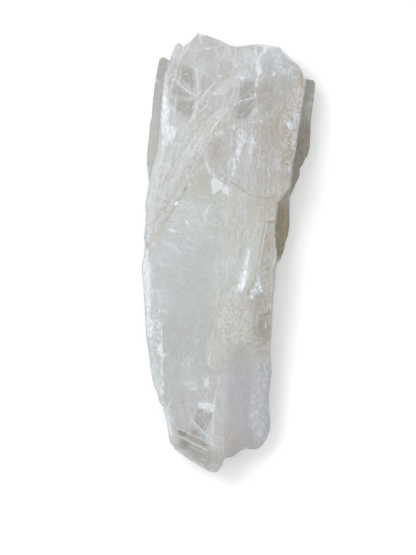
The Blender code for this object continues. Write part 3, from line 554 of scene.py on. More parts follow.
def corner_value(column, row, seed):
    """A fixed number from -1 to 1 for each whole-number place: column, row and seed are each multiplied by a
    large odd number and added, and the sum's low 32 bits are folded, multiplied and folded again."""
    column_factor, row_factor, seed_factor, sum_factor = 374761393, 668265263, 974711, 1274126177
    low_bits, lowest_bits = 0xFFFFFFFF, 0xFFFF
    mixed = column.astype(np.int64) * column_factor + row.astype(np.int64) * row_factor
    mixed = (mixed + seed * seed_factor) & low_bits
    mixed = ((mixed ^ (mixed >> 13)) * sum_factor) & low_bits
    return ((mixed ^ (mixed >> 16)) & lowest_bits) / (lowest_bits / 2.0) - 1.0


def grain(across, along, seed):
    """Value noise from -1 to 1: the four corner values of a unit cell, blended by 3t squared - 2t cubed."""
    column, row = np.floor(across), np.floor(along)
    u, v = across - column, along - row
    u, v = u * u * (3.0 - 2.0 * u), v * v * (3.0 - 2.0 * v)
    low = blend(corner_value(column, row, seed), corner_value(column + 1, row, seed), u)
    high = blend(corner_value(column, row + 1, seed), corner_value(column + 1, row + 1, seed), u)
    return blend(low, high, v)


def rough_grain(across, along, seed, octaves=3):
    """Grain added up at twice the frequency and about half the height each time."""
    total = np.zeros(np.broadcast(across, along).shape)
    height, norm = 1.0, 0.0
    for octave in range(octaves):
        total += height * grain(across * 2.0**octave, along * 2.0**octave, seed + 31 * octave)
        norm += height
        height *= 0.55
    return total / norm


def plane(face, x, y):
    """Height of a crystal face: its point's height plus each rise times the distance from the point."""
    (px, py, pz), rise_x, rise_y = face
    return pz + rise_x * (x - px) + rise_y * (y - py)


def lowest(faces, x, y, rounding=0.3):
    """Height under faces that cut each other, with rounded edges: minus the rounding times the log of the
    sum, over the faces, of e to minus height over rounding. Far from an edge it is the lowest face."""
    heights = np.stack([plane(face, x, y) for face in faces])
    least = heights.min(axis=0)
    return least - rounding * np.log(np.exp((least - heights) / rounding).sum(axis=0))


def piece_distance(x, y, start, end):
    """Distance to a straight piece. Its nearest point lies as far along it as the place does, measured as a
    share of its length and held between 0 and 1."""
    (ax, ay), (bx, by) = start, end
    run_x, run_y = bx - ax, by - ay
    share = np.clip(((x - ax) * run_x + (y - ay) * run_y) / (run_x**2 + run_y**2), 0.0, 1.0)
    return np.hypot(x - ax - share * run_x, y - ay - share * run_y)


def line_distance(x, y, points):
    """Distance to a line of straight pieces: the least of the distances to its pieces."""
    return np.minimum.reduce([piece_distance(x, y, *ends) for ends in zip(points[:-1], points[1:])])


def depth_inside(x, y, outline):
    """Distance to a closed outline, positive inside: a place is inside if a ray to +X crosses the outline an
    odd number of times."""
    closed = list(outline) + [outline[0]]
    inside = np.zeros(x.shape, bool)
    for (ax, ay), (bx, by) in zip(closed[:-1], closed[1:]):
        if ay != by:
            beside = (y >= min(ay, by)) & (y < max(ay, by))
            inside ^= beside & (x < ax + (y - ay) * (bx - ax) / (by - ay))
    return np.where(inside, 1.0, -1.0) * line_distance(x, y, closed)


def edge_at(edge, y):
    """Where a side edge lies at each y: its points joined straight."""
    return np.interp(y, [p[1] for p in edge], [p[0] for p in edge])


def end_at(end, x):
    """Where an end edge lies at each x: its points joined straight."""
    return np.interp(x, [p[0] for p in end], [p[1] for p in end])


def averaged(values, reach):
    """A closed loop's values, each averaged with its neighbours on both sides within reach."""
    padded = np.concatenate([values[-reach:], values, values[:reach]])
    running = np.cumsum(np.concatenate([[0.0], padded]))
    width = 2 * reach + 1
    return (running[width:] - running[:-width]) / width


# ---------------------------------------------------------------------------------------------------
# The blade's form
# ---------------------------------------------------------------------------------------------------
def blade_plan():
    """Places of the top surface seen from above, as two arrays of rows by columns. A column keeps its share
    of the way between two long edges, and the first and last rows are pulled on to the end edges, which
    fades out over the end reach."""
    end_reach, least_ledge, least_strip, wall_run = 75.0, 1.1, 0.5, 0.7
    strip_shares = [0.0, 0.010, 0.020, 0.980, 0.988, 1.0]
    station = np.interp(np.arange(COLUMNS + 1), STRIP_STARTS, strip_shares)[None, :]
    along = np.linspace(0.0, 1.0, ROWS + 1)[:, None]
    left_edge, right_edge = from_grid(LEFT_EDGE), from_grid(RIGHT_EDGE)
    left_y = blend(left_edge[0][1], left_edge[-1][1], along)
    right_y = blend(right_edge[0][1], right_edge[-1][1], along)
    y = blend(left_y, right_y, station)

    ragged = 0.22 * rough_grain(y / 2.7, np.full_like(y, 3.0), 5)
    ragged += 0.16 * grain(y / 0.9, np.zeros_like(y), 8)
    right_ragged = 0.22 * rough_grain(y / 2.3, np.full_like(y, 9.0), 6)
    left = edge_at(left_edge, y) + np.abs(ragged) - OUTLINE_SWELL
    right = edge_at(right_edge, y) - np.abs(right_ragged) + OUTLINE_SWELL
    body_left = edge_at(from_grid(BODY_LEFT_EDGE), y) + ragged
    body_right = edge_at(from_grid(BODY_RIGHT_EDGE), y) + 1.7 * ragged
    left_limit, right_limit = left + least_ledge, right - least_ledge
    left_open = fade(y - LEFT_LEDGE_START + 2.0, 8.0)
    right_open = fade(y - RIGHT_LEDGE_START + 1.0, 8.0)
    body_left = np.maximum(left_limit, blend(left_limit, body_left, left_open))
    body_right = np.minimum(right_limit, blend(right_limit, body_right, right_open))
    edges = [
        left, np.maximum(left + least_strip, body_left - wall_run), body_left,
        body_right, np.minimum(right - least_strip, body_right + wall_run), right,
    ]
    x = np.empty_like(y)
    for strip, cells in enumerate(CELLS_ACROSS):
        columns = slice(STRIP_STARTS[strip], STRIP_STARTS[strip] + cells + 1)
        share = np.linspace(0.0, 1.0, cells + 1)[None, :]
        x[:, columns] = blend(edges[strip][:, columns], edges[strip + 1][:, columns], share)

    near_ragged = 0.25 * np.abs(rough_grain(x[0] / 1.6, np.zeros_like(x[0]), 11))
    far_ragged = 0.30 * np.abs(rough_grain(x[-1] / 1.8, np.zeros_like(x[-1]), 12))
    near = end_at(from_grid(NEAR_END), x[0]) + near_ragged - OUTLINE_SWELL
    far = end_at(from_grid(FAR_END), x[-1]) - far_ragged + 0.4 * OUTLINE_SWELL
    length = left_edge[-1][1] - left_edge[0][1]
    for from_end, pull in ((along, near - y[0]), (1.0 - along, far - y[-1])):
        share = np.clip(from_end * length / end_reach, 0.0, 1.0)
        y = y + (1.0 - share) ** 2 * (1.0 + 2.0 * share) * pull[None, :]
    return x, y


def splintered(depth, x, y, height, seed):
    """The distance into an area with its edge made ragged, by fine grain drawn out along the fibres."""
    across = x - FIBRE_SLOPE * y
    return depth + height * rough_grain(across / 1.3, y / 3.1, seed) + 0.4 * height * grain(x, y, seed + 3)


def blade_faces(x, y):
    """Height of the upper side: the shelf, its step, the body, the lobe, the upper sheet, the break steps
    and the sliver, each laid over the ones before wherever its area holds, across a short slope."""

    def lay(under, top, depth, raggedness, seed, slope):
        """One layer over another: its top where its ragged area holds, blended in over the slope's width."""
        return blend(under, top, fade(splintered(depth, x, y, raggedness, seed), slope))

    shelf = lowest(SHELF_FACES, x, y)
    step_top = plane(SHELF_STEP_FACE, x, y)
    z = lay(shelf, step_top, depth_inside(x, y, SHELF_STEP_AREA), 0.30, 21, 3.0)

    # The body's wall is steep, and gentle towards its near end, with a low foot on its right
    steep, gentle = 2.6, 7.6
    body_top = lowest(BODY_FACES, x, y)
    body_depth = depth_inside(x, y, BODY_AREA)
    foot = body_top - 1.1 + 0.36 * np.minimum(body_depth, 0.0)
    z = np.where(x > 0.0, np.maximum(z, np.minimum(foot, z + 3.0)), z)
    slope = blend(steep, gentle, fade(-23.0 - y, 10.0))
    z = lay(z, body_top, body_depth - 0.2 * (slope - steep), 0.35, 22, slope)
    lobe_top = blend(lowest(LOBE_FACES, x, y, 1.8), body_top, fade(body_depth + 3.0, 13.0))
    z = lay(z, lobe_top, depth_inside(x, y, LOBE_AREA), 0.30, 23, 5.0)

    # The upper sheet starts low at its edge, and each break step adds a thin layer to it
    upper_depth = depth_inside(x, y, UPPER_AREA)
    feathered = z + 0.30 + 0.13 * np.maximum(upper_depth, 0.0)
    z = lay(z, np.minimum(lowest(UPPER_FACES, x, y), feathered), upper_depth, 0.40, 24, 2.4)
    for number, area in enumerate(BREAK_STEP_AREAS):
        top = np.minimum(plane(BREAK_FACE, x, y) + 0.35 * (number + 1), z + 0.45)
        z = lay(z, np.maximum(z, top), depth_inside(x, y, area), 1.1, 25 + number, 2.4)
    sliver_top = plane(SLIVER_FACE, x, y) + 3.5 * fade(84.0 - y, 22.0)
    return lay(z, np.minimum(z, sliver_top), depth_inside(x, y, SLIVER_AREA), 0.25, 28, 2.2)


def blade_relief(x, y, marks, strength):
    """Low forms of the upper side, added up: broad waves, fibres drawn out along the blade, splinters in
    rows along the break, chips where it is frosted, a ridge at the glare line and cracks in bruises."""
    across = x - FIBRE_SLOPE * y
    right_of_ridge = fade(across + 0.28, 9.0)
    fibrous = np.clip(right_of_ridge * fade(y + 34.0, 22.0) + 0.25, 0.0, 1.0)
    waves = 0.30 * rough_grain(x / 17.0 + 2.0, y / 46.0, 41, 2)
    fibres = 0.11 * rough_grain(across / 3.4, y / 30.0, 42, 2) + 0.05 * grain(across / 1.7, y / 19.0, 43)

    # Teeth stand in rows along the break, which leans to the right by this much from the blade's length
    break_turn = np.radians(30.0)
    band = fade(splintered(depth_inside(x, y, DIAGONAL_BAND), x, y, 1.5, 44), 5.0)
    broken_across = np.cos(break_turn) * x - np.sin(break_turn) * y
    broken_along = np.sin(break_turn) * x + np.cos(break_turn) * y
    row = broken_across / 2.6 + 0.9 * rough_grain(broken_across / 5.0, broken_along / 11.0, 45)
    teeth = 0.12 * (row - np.floor(row))
    teeth += 0.13 * rough_grain(broken_across / 2.0, broken_along / 7.0, 46, 2)

    chips = 0.20 * rough_grain(x / 2.4, y / 2.8, 47, 2) + 0.10 * grain(x / 1.6, y / 1.6, 48)
    chips += 0.30 * grain(x / 3.4, y / 5.5, 51)
    glare = 0.30 * bell(line_distance(x, y, from_grid(GLARE_LINE)), 1.9)
    shelf = fade(-depth_inside(x, y, BODY_AREA), 2.0) * fade(y + 45.0, 10.0)
    shelf_splinters = 0.24 * rough_grain(across / 2.2, y / 9.0, 49, 2)
    cracked = 0.13 * rough_grain(x / 1.8, y / 2.2, 50, 2)
    fine = fibres * fibrous + band * teeth + marks["frost"] * chips + 0.05 * marks["vein"]
    fine += shelf * shelf_splinters + marks["bruise"] * cracked
    glassy = np.maximum(marks["clear"], fade(marks["stripe"] + 0.5, 1.2))
    return waves + glare + strength * fine * (1.0 - 0.92 * glassy)


def terraces(share, steps, shift):
    """A slope turned into steps: the share less a sine that flattens it, steps times on the way up."""
    flatness = 0.92
    phase = 2.0 * np.pi * (steps * share + shift)
    wave = (np.sin(phase) - np.sin(2.0 * np.pi * shift)) / (2.0 * np.pi * steps)
    return np.clip(share - flatness * wave, 0.0, 1.0)


def side_wall(upper, strip, cells_in, foot_cells, edge_cells, ledge_open, shift):
    """One side of the top grid, by how many cells a column is from the outline: a ledge up to the wall's
    foot and terraces from there to the body's edge, or terraces all the way where the ledge is hidden."""
    steps, least_drop = 3, 0.8
    above_foot = np.maximum(cells_in - foot_cells, 0) / (edge_cells - foot_cells)
    share = np.clip(blend(cells_in / edge_cells, above_foot, ledge_open), 0.0, 1.0)
    wall = blend(np.minimum(strip, upper - least_drop), upper, terraces(share, steps, shift))
    return np.where(cells_in < edge_cells, wall, upper)


def blade_top(x, y, marks, relief):
    """Height of the whole top grid: the upper side between the body's edges, worn down close to them, and
    outside them a wall down to the lower plate's own faces, or to a narrow ledge where it is hidden."""
    wear_reach = 1.1
    column = np.arange(COLUMNS + 1)[None, :]
    upper = blade_faces(x, y) + blade_relief(x, y, marks, relief)
    to_edge = np.minimum(x - x[:, [BODY_LEFT]], x[:, [BODY_RIGHT]] - x)
    worn = 0.22 + 0.20 * grain(x / 3.0, y / 3.0, 64)
    upper -= worn * np.clip(1.0 - to_edge / wear_reach, 0.0, 1.0) ** 2
    roll = 0.25 * rough_grain(x / 2.0, y / 9.0, 61) + 0.12 * grain(x / 0.7, y / 5.0, 62)
    left_open, right_open = fade(y - LEFT_LEDGE_START, 14.0), fade(y - RIGHT_LEDGE_START, 14.0)
    left_strip = blend(LEFT_LEDGE_TOP, plane(LEFT_STRIP_FACE, x, y), left_open) + roll
    right_strip = blend(RIGHT_LEDGE_TOP, lowest(RIGHT_STRIP_FACES, x, y), right_open) + roll
    shift = 0.35 * grain(y / 16.0, np.zeros_like(y), 63)
    z = side_wall(upper, left_strip, column, LEFT_FOOT, BODY_LEFT, left_open, shift)
    from_right, foot, edge = COLUMNS - column, COLUMNS - RIGHT_FOOT, COLUMNS - BODY_RIGHT
    return side_wall(z, right_strip, from_right, foot, edge, right_open, shift)


def under_height(x, y):
    """Height of the underside: 0 where it lies flat, and the highest of its slanting faces elsewhere, with a
    grain that starts only once the face has left the ground."""
    z = np.maximum.reduce([plane(face, x, y) for face in UNDER_FACES])
    rough = 0.35 * rough_grain(x / 5.0, y / 19.0, 71) + 0.15 * grain(x / 1.9, y / 6.0, 72)
    return np.maximum(z + rough * fade(z - 1.2, 2.0), 0.0)


def wall_rings(x, y, z):
    """The side wall as a profile carried round the outline: one ring above and one below each layer's
    joint, each set in along the inward normal by its layer's own amount, which wanders along the outline,
    and two rings at the foot, the lower one further in. Every other layer stands back."""
    half_joint, least_gap, least_wall, deepest, turned_under = 0.16, 0.14, 3.0, 1.9, 0.45
    normal_reach, clear_of_origin = 7, 500.0
    step_x, step_y = np.roll(x, -1) - np.roll(x, 1), np.roll(y, -1) - np.roll(y, 1)
    travelled = np.cumsum(np.hypot(step_x, step_y) / 2.0)
    normal_x, normal_y = averaged(step_y, normal_reach), -averaged(step_x, normal_reach)
    size = np.hypot(normal_x, normal_y)
    normal_x, normal_y = normal_x / size, normal_y / size
    once_round = travelled[-1]

    def wander(length, seed):
        """Grain round the loop that meets itself: read on a circle, so its end runs into its start."""
        angle = 2.0 * np.pi * travelled / once_round
        radius = once_round / (2.0 * np.pi * length)
        circle_x, circle_y = radius * np.cos(angle), radius * np.sin(angle)
        return grain(circle_x + clear_of_origin, circle_y + clear_of_origin, seed)

    bottom = np.minimum(under_height(x, y), z - least_wall)
    rings = []
    levels = 2 * len(LAYER_HEIGHTS)
    for level in range(levels + 2):
        layer = min((level + 1) // 2, len(LAYER_HEIGHTS))
        inset = 0.25 + 0.12 * layer + 0.50 * (layer % 2)
        inset = inset + 0.42 * wander(23.0, 81 + layer) + 0.34 * wander(6.0, 91 + layer)
        inset = np.clip(inset + 0.16 * wander(1.7, 101 + layer), 0.0, deepest)
        if level < levels:
            joint = LAYER_HEIGHTS[level // 2] + 0.7 * wander(41.0, 111 + level // 2)
            height = joint + (half_joint if level % 2 == 0 else -half_joint)
            height = np.minimum(height, z - least_gap * (level + 1))
            height = np.maximum(height, bottom + least_gap * (levels - level))
        else:
            inset = inset + turned_under * (level - levels)
            height = bottom
        ring_x, ring_y = x - normal_x * inset, y - normal_y * inset
        if level > levels:
            height = np.minimum(under_height(ring_x, ring_y), bottom)
        rings.append((ring_x, ring_y, height))
    return rings


def underside(ring_x, ring_y):
    """The coarse underside: a patch blended between the four sides of the lowest ring, each opposite pair
    joined straight and the corners' share taken off once."""
    corners = np.array([0, COLUMNS, COLUMNS + ROWS, 2 * COLUMNS + ROWS, 2 * (COLUMNS + ROWS)]) // UNDER_CELL
    sides = []
    for ring in (ring_x, ring_y):
        loop = np.concatenate([ring, ring[:1]])[::UNDER_CELL]
        near, right, far, left = (loop[a : b + 1] for a, b in zip(corners[:-1], corners[1:]))
        sides.append((near, right, far[::-1], left[::-1]))
    near_x, _, far_x, _ = sides[0]
    along = np.linspace(0.0, 1.0, UNDER_ROWS + 1)[:, None]
    near_share = (near_x - near_x[0]) / (near_x[-1] - near_x[0])
    far_share = (far_x - far_x[0]) / (far_x[-1] - far_x[0])
    share = blend(near_share[None, :], far_share[None, :], along)
    patch = []
    for near, right, far, left in sides:
        middle = blend(left[:, None], right[:, None], share)
        near_off = near - blend(near[0], near[-1], near_share)
        far_off = far - blend(far[0], far[-1], far_share)
        patch.append(middle + blend(near_off[None, :], far_off[None, :], along))
    return patch


def grid_index(rows, columns):
    """Numbers of a grid's points, counted row by row."""
    return np.arange((rows + 1) * (columns + 1)).reshape(rows + 1, columns + 1)


def outline_loop(rows, columns):
    """Numbers of a grid's outline, once round, starting at the near left corner and going right."""
    index = grid_index(rows, columns)
    return np.concatenate([index[0, :-1], index[:-1, -1], index[-1, :0:-1], index[:0:-1, 0]])


def grid_faces(rows, columns):
    """Four corners of each cell of a grid, counted so that the face looks up."""
    index = grid_index(rows, columns)
    return np.stack([index[:-1, :-1], index[:-1, 1:], index[1:, 1:], index[1:, :-1]], -1).reshape(-1, 4)


def blade_surface(x, y, z):
    """The closed surface that hangs from the top grid. Returns its points, held inside the frame's box: the
    top, the rings of the wall, then the patch of the underside. Its faces are four lists in the same order,
    the last of them fans that join a few cells of the lowest ring to one of the patch."""
    highest_under = 20.0
    loop = outline_loop(ROWS, COLUMNS)
    rings = wall_rings(*(values.reshape(-1)[loop] for values in (x, y, z)))
    lowest_x, lowest_y, lowest_z = rings.pop()
    patch_x, patch_y = underside(lowest_x, lowest_y)
    patch_z = np.minimum(under_height(patch_x, patch_y), highest_under)
    patch_loop = outline_loop(UNDER_ROWS, UNDER_COLUMNS)
    patch_z.reshape(-1)[patch_loop] = lowest_z[::UNDER_CELL]
    parts = [(x, y, z), *rings, (patch_x, patch_y, patch_z)]
    places = np.concatenate([np.stack(part, -1).reshape(-1, 3) for part in parts])
    places = np.clip(places, np.array(CAD_LOW) / MM, np.array(CAD_HIGH) / MM)

    wall = []
    upper_ring = loop
    for number in range(len(rings)):
        lower_ring = x.size + len(loop) * number + np.arange(len(loop))
        wall.append(np.stack([upper_ring, lower_ring, np.roll(lower_ring, -1), np.roll(upper_ring, -1)], -1))
        upper_ring = lower_ring
    patch_start = x.size + len(loop) * len(rings)
    patch = patch_start + grid_faces(UNDER_ROWS, UNDER_COLUMNS)[:, ::-1]
    patch_ring = patch_start + patch_loop
    fine = [np.roll(upper_ring, -step)[::UNDER_CELL] for step in range(UNDER_CELL + 1)]
    fans = np.stack(fine[::-1] + [patch_ring, np.roll(patch_ring, -1)], -1)
    return places, [grid_faces(ROWS, COLUMNS), np.concatenate(wall), patch, fans]


# ---------------------------------------------------------------------------------------------------
# Marks in the crystal on the points of the surface: shares from 0 to 1, and distances to crisp edges
# ---------------------------------------------------------------------------------------------------
def line_marks(x, y, lines, seed):
    """Veins and stains, on paths that wander a little. Gives two values: the strength of the nearest line,
    which fades out within the line reach, and the signed distance to it as a share of its half width, which
    stays exact between the points of a coarse mesh."""
    line_reach, farthest_side = 1.15, 6.0
    shift_x = 0.35 * rough_grain(x / 3.5, y / 3.5, seed)
    shift_y = 0.35 * rough_grain(x / 3.5, y / 3.5, seed + 1)
    uneven = np.clip(0.80 + 0.60 * rough_grain(x / 1.8, y / 3.8, seed + 2), 0.25, 1.2)
    x, y = x + shift_x, y + shift_y
    nearest = np.full(x.shape, np.inf)
    side, strengths = np.zeros(x.shape), np.zeros(x.shape)
    for points, half_width, strength in lines:
        places = from_grid(points)
        width = half_width * GRID_SQUARE
        for (ax, ay), (bx, by) in zip(places[:-1], places[1:]):
            distance = piece_distance(x, y, (ax, ay), (bx, by))
            nearer = distance - width < nearest
            sign = np.where((bx - ax) * (y - ay) > (by - ay) * (x - ax), 1.0, -1.0)
            side = np.where(nearer, sign * distance / width, side)
            strengths = np.where(nearer, strength, strengths)
            nearest = np.where(nearer, distance - width, nearest)
    strengths = np.clip(strengths * uneven * bell(np.maximum(nearest, 0.0), line_reach), 0.0, 1.0)
    return strengths, np.clip(side, -farthest_side, farthest_side)


def spot_marks(x, y, spots, seed, softness=0.7):
    """Bruises and tinted places: ovals that fade out round a rim made uneven by grain."""
    uneven = 0.34 * rough_grain(x / 4.2, y / 5.5, seed) + 0.16 * grain(x / 1.1, y / 1.6, seed + 1)
    total = np.zeros(x.shape)
    for column, row, radius_x, radius_y, turn, strength in spots:
        centre_x, centre_y = from_grid([(column, row)])[0]
        angle = -np.radians(turn)
        across = (x - centre_x) * np.cos(angle) + (y - centre_y) * np.sin(angle)
        along = (y - centre_y) * np.cos(angle) - (x - centre_x) * np.sin(angle)
        rim = 1.0 - np.hypot(across / radius_x, along / radius_y) / GRID_SQUARE + uneven
        total = np.maximum(total, strength * fade(rim, softness))
    return total


def patch_marks(x, y, patches, seed, softness, raggedness=0.9):
    """Patches with a drawn outline: strength times the smooth step of the distance inside."""
    uneven = raggedness * (rough_grain(x / 3.0, y / 5.0, seed) + 0.4 * grain(x / 0.9, y / 1.8, seed + 1))
    total = np.zeros(x.shape)
    for outline, strength in patches:
        depth = depth_inside(x, y, from_grid(outline)) + uneven
        total = np.maximum(total, strength * fade(depth, softness))
    return total


def patch_depth(x, y, outlines):
    """Distance into the nearest of some crisp patches, in millimetres, held within DEEPEST_PATCH of 0."""
    depths = [depth_inside(x, y, from_grid(outline)) for outline in outlines]
    return np.clip(np.maximum.reduce(depths), -DEEPEST_PATCH, DEEPEST_PATCH)


def crystal_marks(x, y):
    """Every mark on the upper side: those from the tables above, and the zones that take a tint or a
    texture, which are smooth steps across and along the blade, multiplied."""
    across = x - FIBRE_SLOPE * y
    # The veins carry the painted edge highlights of the middle table too
    veins, vein_side = line_marks(x, y, FAR_END_VEINS + MIDDLE_VEINS_AND_EDGE_HIGHLIGHTS + NEAR_END_VEINS, 131)
    stains, stain_side = line_marks(x, y, STAIN_LINES, 181)

    # Painted highlight: the glare line's sheen, a bell along the line that is whitened with the bruises
    glare_width = blend(1.4, 3.0, fade(-8.0 - y, 16.0))
    glare = bell(line_distance(x, y, from_grid(GLARE_LINE)), glare_width)
    glare = glare * (0.93 + 0.30 * rough_grain(x / 1.9, y / 3.4, 171, 2))
    bruises = [spot_marks(x, y, WHITE_BRUISES_AND_HIGHLIGHTS, 141), patch_marks(x, y, WHITE_BANDS_AND_GLINTS, 151, 2.6, 1.5), glare]

    upper = fade(depth_inside(x, y, UPPER_AREA), 3.0)
    band = fade(depth_inside(x, y, DIAGONAL_BAND), 6.0)
    body = fade(depth_inside(x, y, BODY_AREA), 2.0)
    left_face = fade(-8.6 - across, 5.0)
    near_end = fade(-92.0 - y, 20.0)
    lobe = fade(depth_inside(x, y, LOBE_AREA) - 4.0, 18.0) * fade(x + 1.5, 7.0)
    near_left = 0.30 * near_end * fade(-8.0 - across, 6.0)
    straw_right = fade(across + 9.0, 10.0) * fade(44.0 - y, 14.0) * fade(y + 72.0, 16.0)
    straw_left = 0.75 * fade(-12.0 - across, 10.0) * fade(82.0 - y, 16.0) * fade(y - 12.0, 14.0)
    thin = upper * fade(y - 72.0 - 0.7 * np.abs(x + 8.0), 16.0)

    # Pale rims run a little inside the left edge, a painted highlight where it catches the light, and along
    # the far end
    left_light = 0.30 * fade(46.0 - y, 12.0) + 0.50 * fade(8.0 - y, 10.0) - 0.30 * fade(-46.0 - y, 14.0)
    left_rim = left_light * bell(x - x[:, :1] - 1.8, 1.4)
    far_rim = 0.72 * bell(y[-1:, :] - y, 1.6)
    return {
        "vein": veins,
        "vein_side": vein_side,
        "stain": stains,
        "stain_side": stain_side,
        "bruise": np.maximum.reduce(bruises),
        "flake": patch_depth(x, y, CLEAVAGE_FLAKES),
        "clear": patch_marks(x, y, CLEAR_WINDOWS, 161, 3.8, 1.4),
        "stripe": patch_depth(x, y, CLEAR_STRIPES),
        "warm": np.clip(spot_marks(x, y, WARM_TONE, 191, 1.1) + 0.04 * band, 0.0, 1.0),
        "frost": patch_marks(x, y, FROSTED_PATCHES, 201, 4.0),
        "green": left_face * body * (1.0 - upper) * (1.0 - near_end),
        "lilac": np.maximum(lobe, near_left),
        "straw": np.maximum(straw_right, straw_left),
        "dim": spot_marks(x, y, DIM_PLACES, 211, 1.3),
        "pale": np.clip(spot_marks(x, y, PALE_AND_HIGHLIT_PLACES, 221, 1.3) + left_rim + far_rim, 0.0, 1.0),
        "silk": spot_marks(x, y, SILKY_PLACES, 231, 1.3),
        "thin": thin,
    }


def side_marks(x, y, marks):
    """The marks with four more: the walls, the shade of the ledges at their feet and of other places, the
    fibres of the right face and the broken band. Veins, stains, bruises and warm places end at the walls."""
    column = np.arange(COLUMNS + 1)[None, :]
    on_left, on_right = column < BODY_LEFT, column > BODY_RIGHT
    left_ledge = fade(y - LEFT_LEDGE_START, 14.0)
    right_ledge = fade(y - RIGHT_LEDGE_START + 4.0, 10.0)
    ledge = np.where(column > RIGHT_FOOT, right_ledge, np.where(column < LEFT_FOOT, left_ledge, 0.0))
    cells_out = np.maximum(column - BODY_RIGHT, BODY_LEFT - column)
    wall = np.clip(cells_out / 2.0, 0.0, 1.0) * (1.0 - ledge)

    far_light, step_light = 0.48 * fade(y - 85.0, 10.0), 0.60 * bell(y - 36.0, 6.5)
    right_shade = right_ledge * (1.0 - far_light - step_light)
    left_shade = left_ledge * (0.14 + 0.18 * fade(y - 90.0, 8.0) + 0.24 * fade(y - 112.0, 14.0))
    side_shade = np.where(on_right, right_shade, np.where(on_left, left_shade, 0.0)) * (1.0 - 0.40 * wall)
    shady = spot_marks(x, y, SHADY_PLACES, 241, 1.2) * (1.0 - wall)
    right_face = fade(x - FIBRE_SLOPE * y + 7.0, 4.0) * fade(y + 66.0, 8.0)
    weaker = 0.5 * fade(y - 106.0, 12.0) + 0.40 * fade(34.0 - y, 16.0)
    return {
        **marks,
        **{name: marks[name] * (1.0 - wall) for name in ("vein", "stain", "bruise", "warm")},
        "wall": wall,
        "shade": np.maximum(side_shade, shady),
        "fibrous": right_face * (1.0 - weaker),
        "band": fade(depth_inside(x, y, DIAGONAL_BAND), 5.0),
    }


def marks_below(wall_x, patch_size):
    """Marks of the wall's rings and then of the underside. A mark that isn't named here is 0 on both."""
    return {
        "shade": np.concatenate([0.45 * fade(wall_x - 12.0, 20.0), np.full(patch_size, 0.15)]),
        "wall": np.concatenate([np.ones(wall_x.size), np.full(patch_size, 0.3)]),
        "frost": 0.35, "fibrous": 0.6, "flake": -DEEPEST_PATCH, "stripe": -DEEPEST_PATCH,
    }


# ---------------------------------------------------------------------------------------------------
# Finish
# ---------------------------------------------------------------------------------------------------
# Fine patterns: the size of their cells across, along and up, in millimetres, then turn, detail, roughness
# and distortion
PATTERNS = {
    "fibre": ((0.9, 12.0, 1.4), FIBRE_TURN, 4.0, 0.62, 0.6),
    "hair_fibre": ((0.45, 4.6, 0.8), FIBRE_TURN, 3.0, 0.65, 0.5),
    "fine_fibre": ((0.38, 5.0, 0.6), FIBRE_TURN, 3.0, 0.6, 0.3),
    "bundle": ((3.6, 14.0, 5.0), FIBRE_TURN, 3.0, 0.6, 1.0),
    "cloud": ((13.0, 26.0, 9.0), FIBRE_TURN, 4.0, 0.55, 0.6),
    "small_cloud": ((3.0, 5.0, 3.0), 0.25, 4.0, 0.6, 0.8),
    "mottle": ((1.5, 2.0, 1.5), 0.1, 2.0, 0.6, 0.5),
    "grit": ((0.62, 0.75, 0.62), 0.0, 3.0, 0.7, 0.0),
    "speck": ((0.80, 0.90, 0.80), 0.4, 1.0, 0.5, 0.0),
    "splinter": ((0.7, 7.0, 1.6), -0.42, 4.0, 0.6, 0.3),
    "silk": ((0.85, 6.2, 2.0), 1.16, 4.0, 0.62, 1.3),
    "layers": ((60.0, 60.0, 1.5), 0.0, 4.0, 0.65, 0.2),
    "fine_layers": ((14.0, 14.0, 0.55), 0.0, 2.0, 0.6, 0.2),
}
PLATE_SIZE, PLATE_TURN = (7.0, 13.0, 9.0), -0.55

# Tinted places: mark, the small clouds' levels at which its strength starts and ends with the strength at
# each, and colour
TINTED_PLACES = (
    ("straw", (0.30, 0.70, 0.34, 0.46), "straw_tint"),
    ("warm", (0.25, 0.72, 0.40, 1.0), "cream_tint"),
    ("dim", (0.75, 0.25, 0.45, 0.85), "dim_grey"),
    # The pale places are partly painted highlights
    ("pale", (0.25, 0.70, 0.30, 0.80), "white_and_highlight"),
)

# Plates, streaks and mottles: pattern, the levels of it at which the colour starts and is full, the place
# that takes it, its strength there and its strength everywhere, and colour
STREAKS = (
    ("plate", 0.35, 0.65, "thin", 0.24, 0.05, "dim_grey"),
    ("mottle", 0.50, 0.70, "frosted", 0.36, 0.0, "white_and_highlight"),
    ("mottle", 0.49, 0.30, "frosted", 0.28, 0.0, "dim_grey"),
    ("small_cloud", 0.50, 0.68, "calm", 0.26, 0.0, "white_and_highlight"),
    ("small_cloud", 0.47, 0.30, "calm", 0.16, 0.0, "dim_grey"),
    ("fibre", 0.47, 0.66, "bunched", 0.62, 0.06, "white_and_highlight"),
    ("hair_fibre", 0.50, 0.68, "bunched", 0.40, 0.06, "white_and_highlight"),
    ("fibre", 0.52, 0.32, "between", 0.42, 0.0, "dim_grey"),
    ("splinter", 0.50, 0.68, "band", 0.62, 0.0, "white_and_highlight"),
    ("splinter", 0.47, 0.30, "band", 0.38, 0.0, "cream_shadow"),
    ("silk", 0.49, 0.63, "silk", 0.95, 0.0, "white_and_highlight"),
    ("silk", 0.47, 0.30, "silk", 0.34, 0.0, "dim_grey"),
    ("layers", 0.50, 0.64, "wall", 0.60, 0.0, "white_and_highlight"),
    ("layers", 0.49, 0.36, "wall", 0.50, 0.0, "dim_grey"),
    ("fine_layers", 0.50, 0.30, "wall", 0.40, 0.0, "dim_grey"),
    ("fine_layers", 0.52, 0.70, "wall", 0.40, 0.0, "white_and_highlight"),
    ("mottle", 0.50, 0.36, "crumbs", 0.80, 0.0, "cream_shadow"),
)


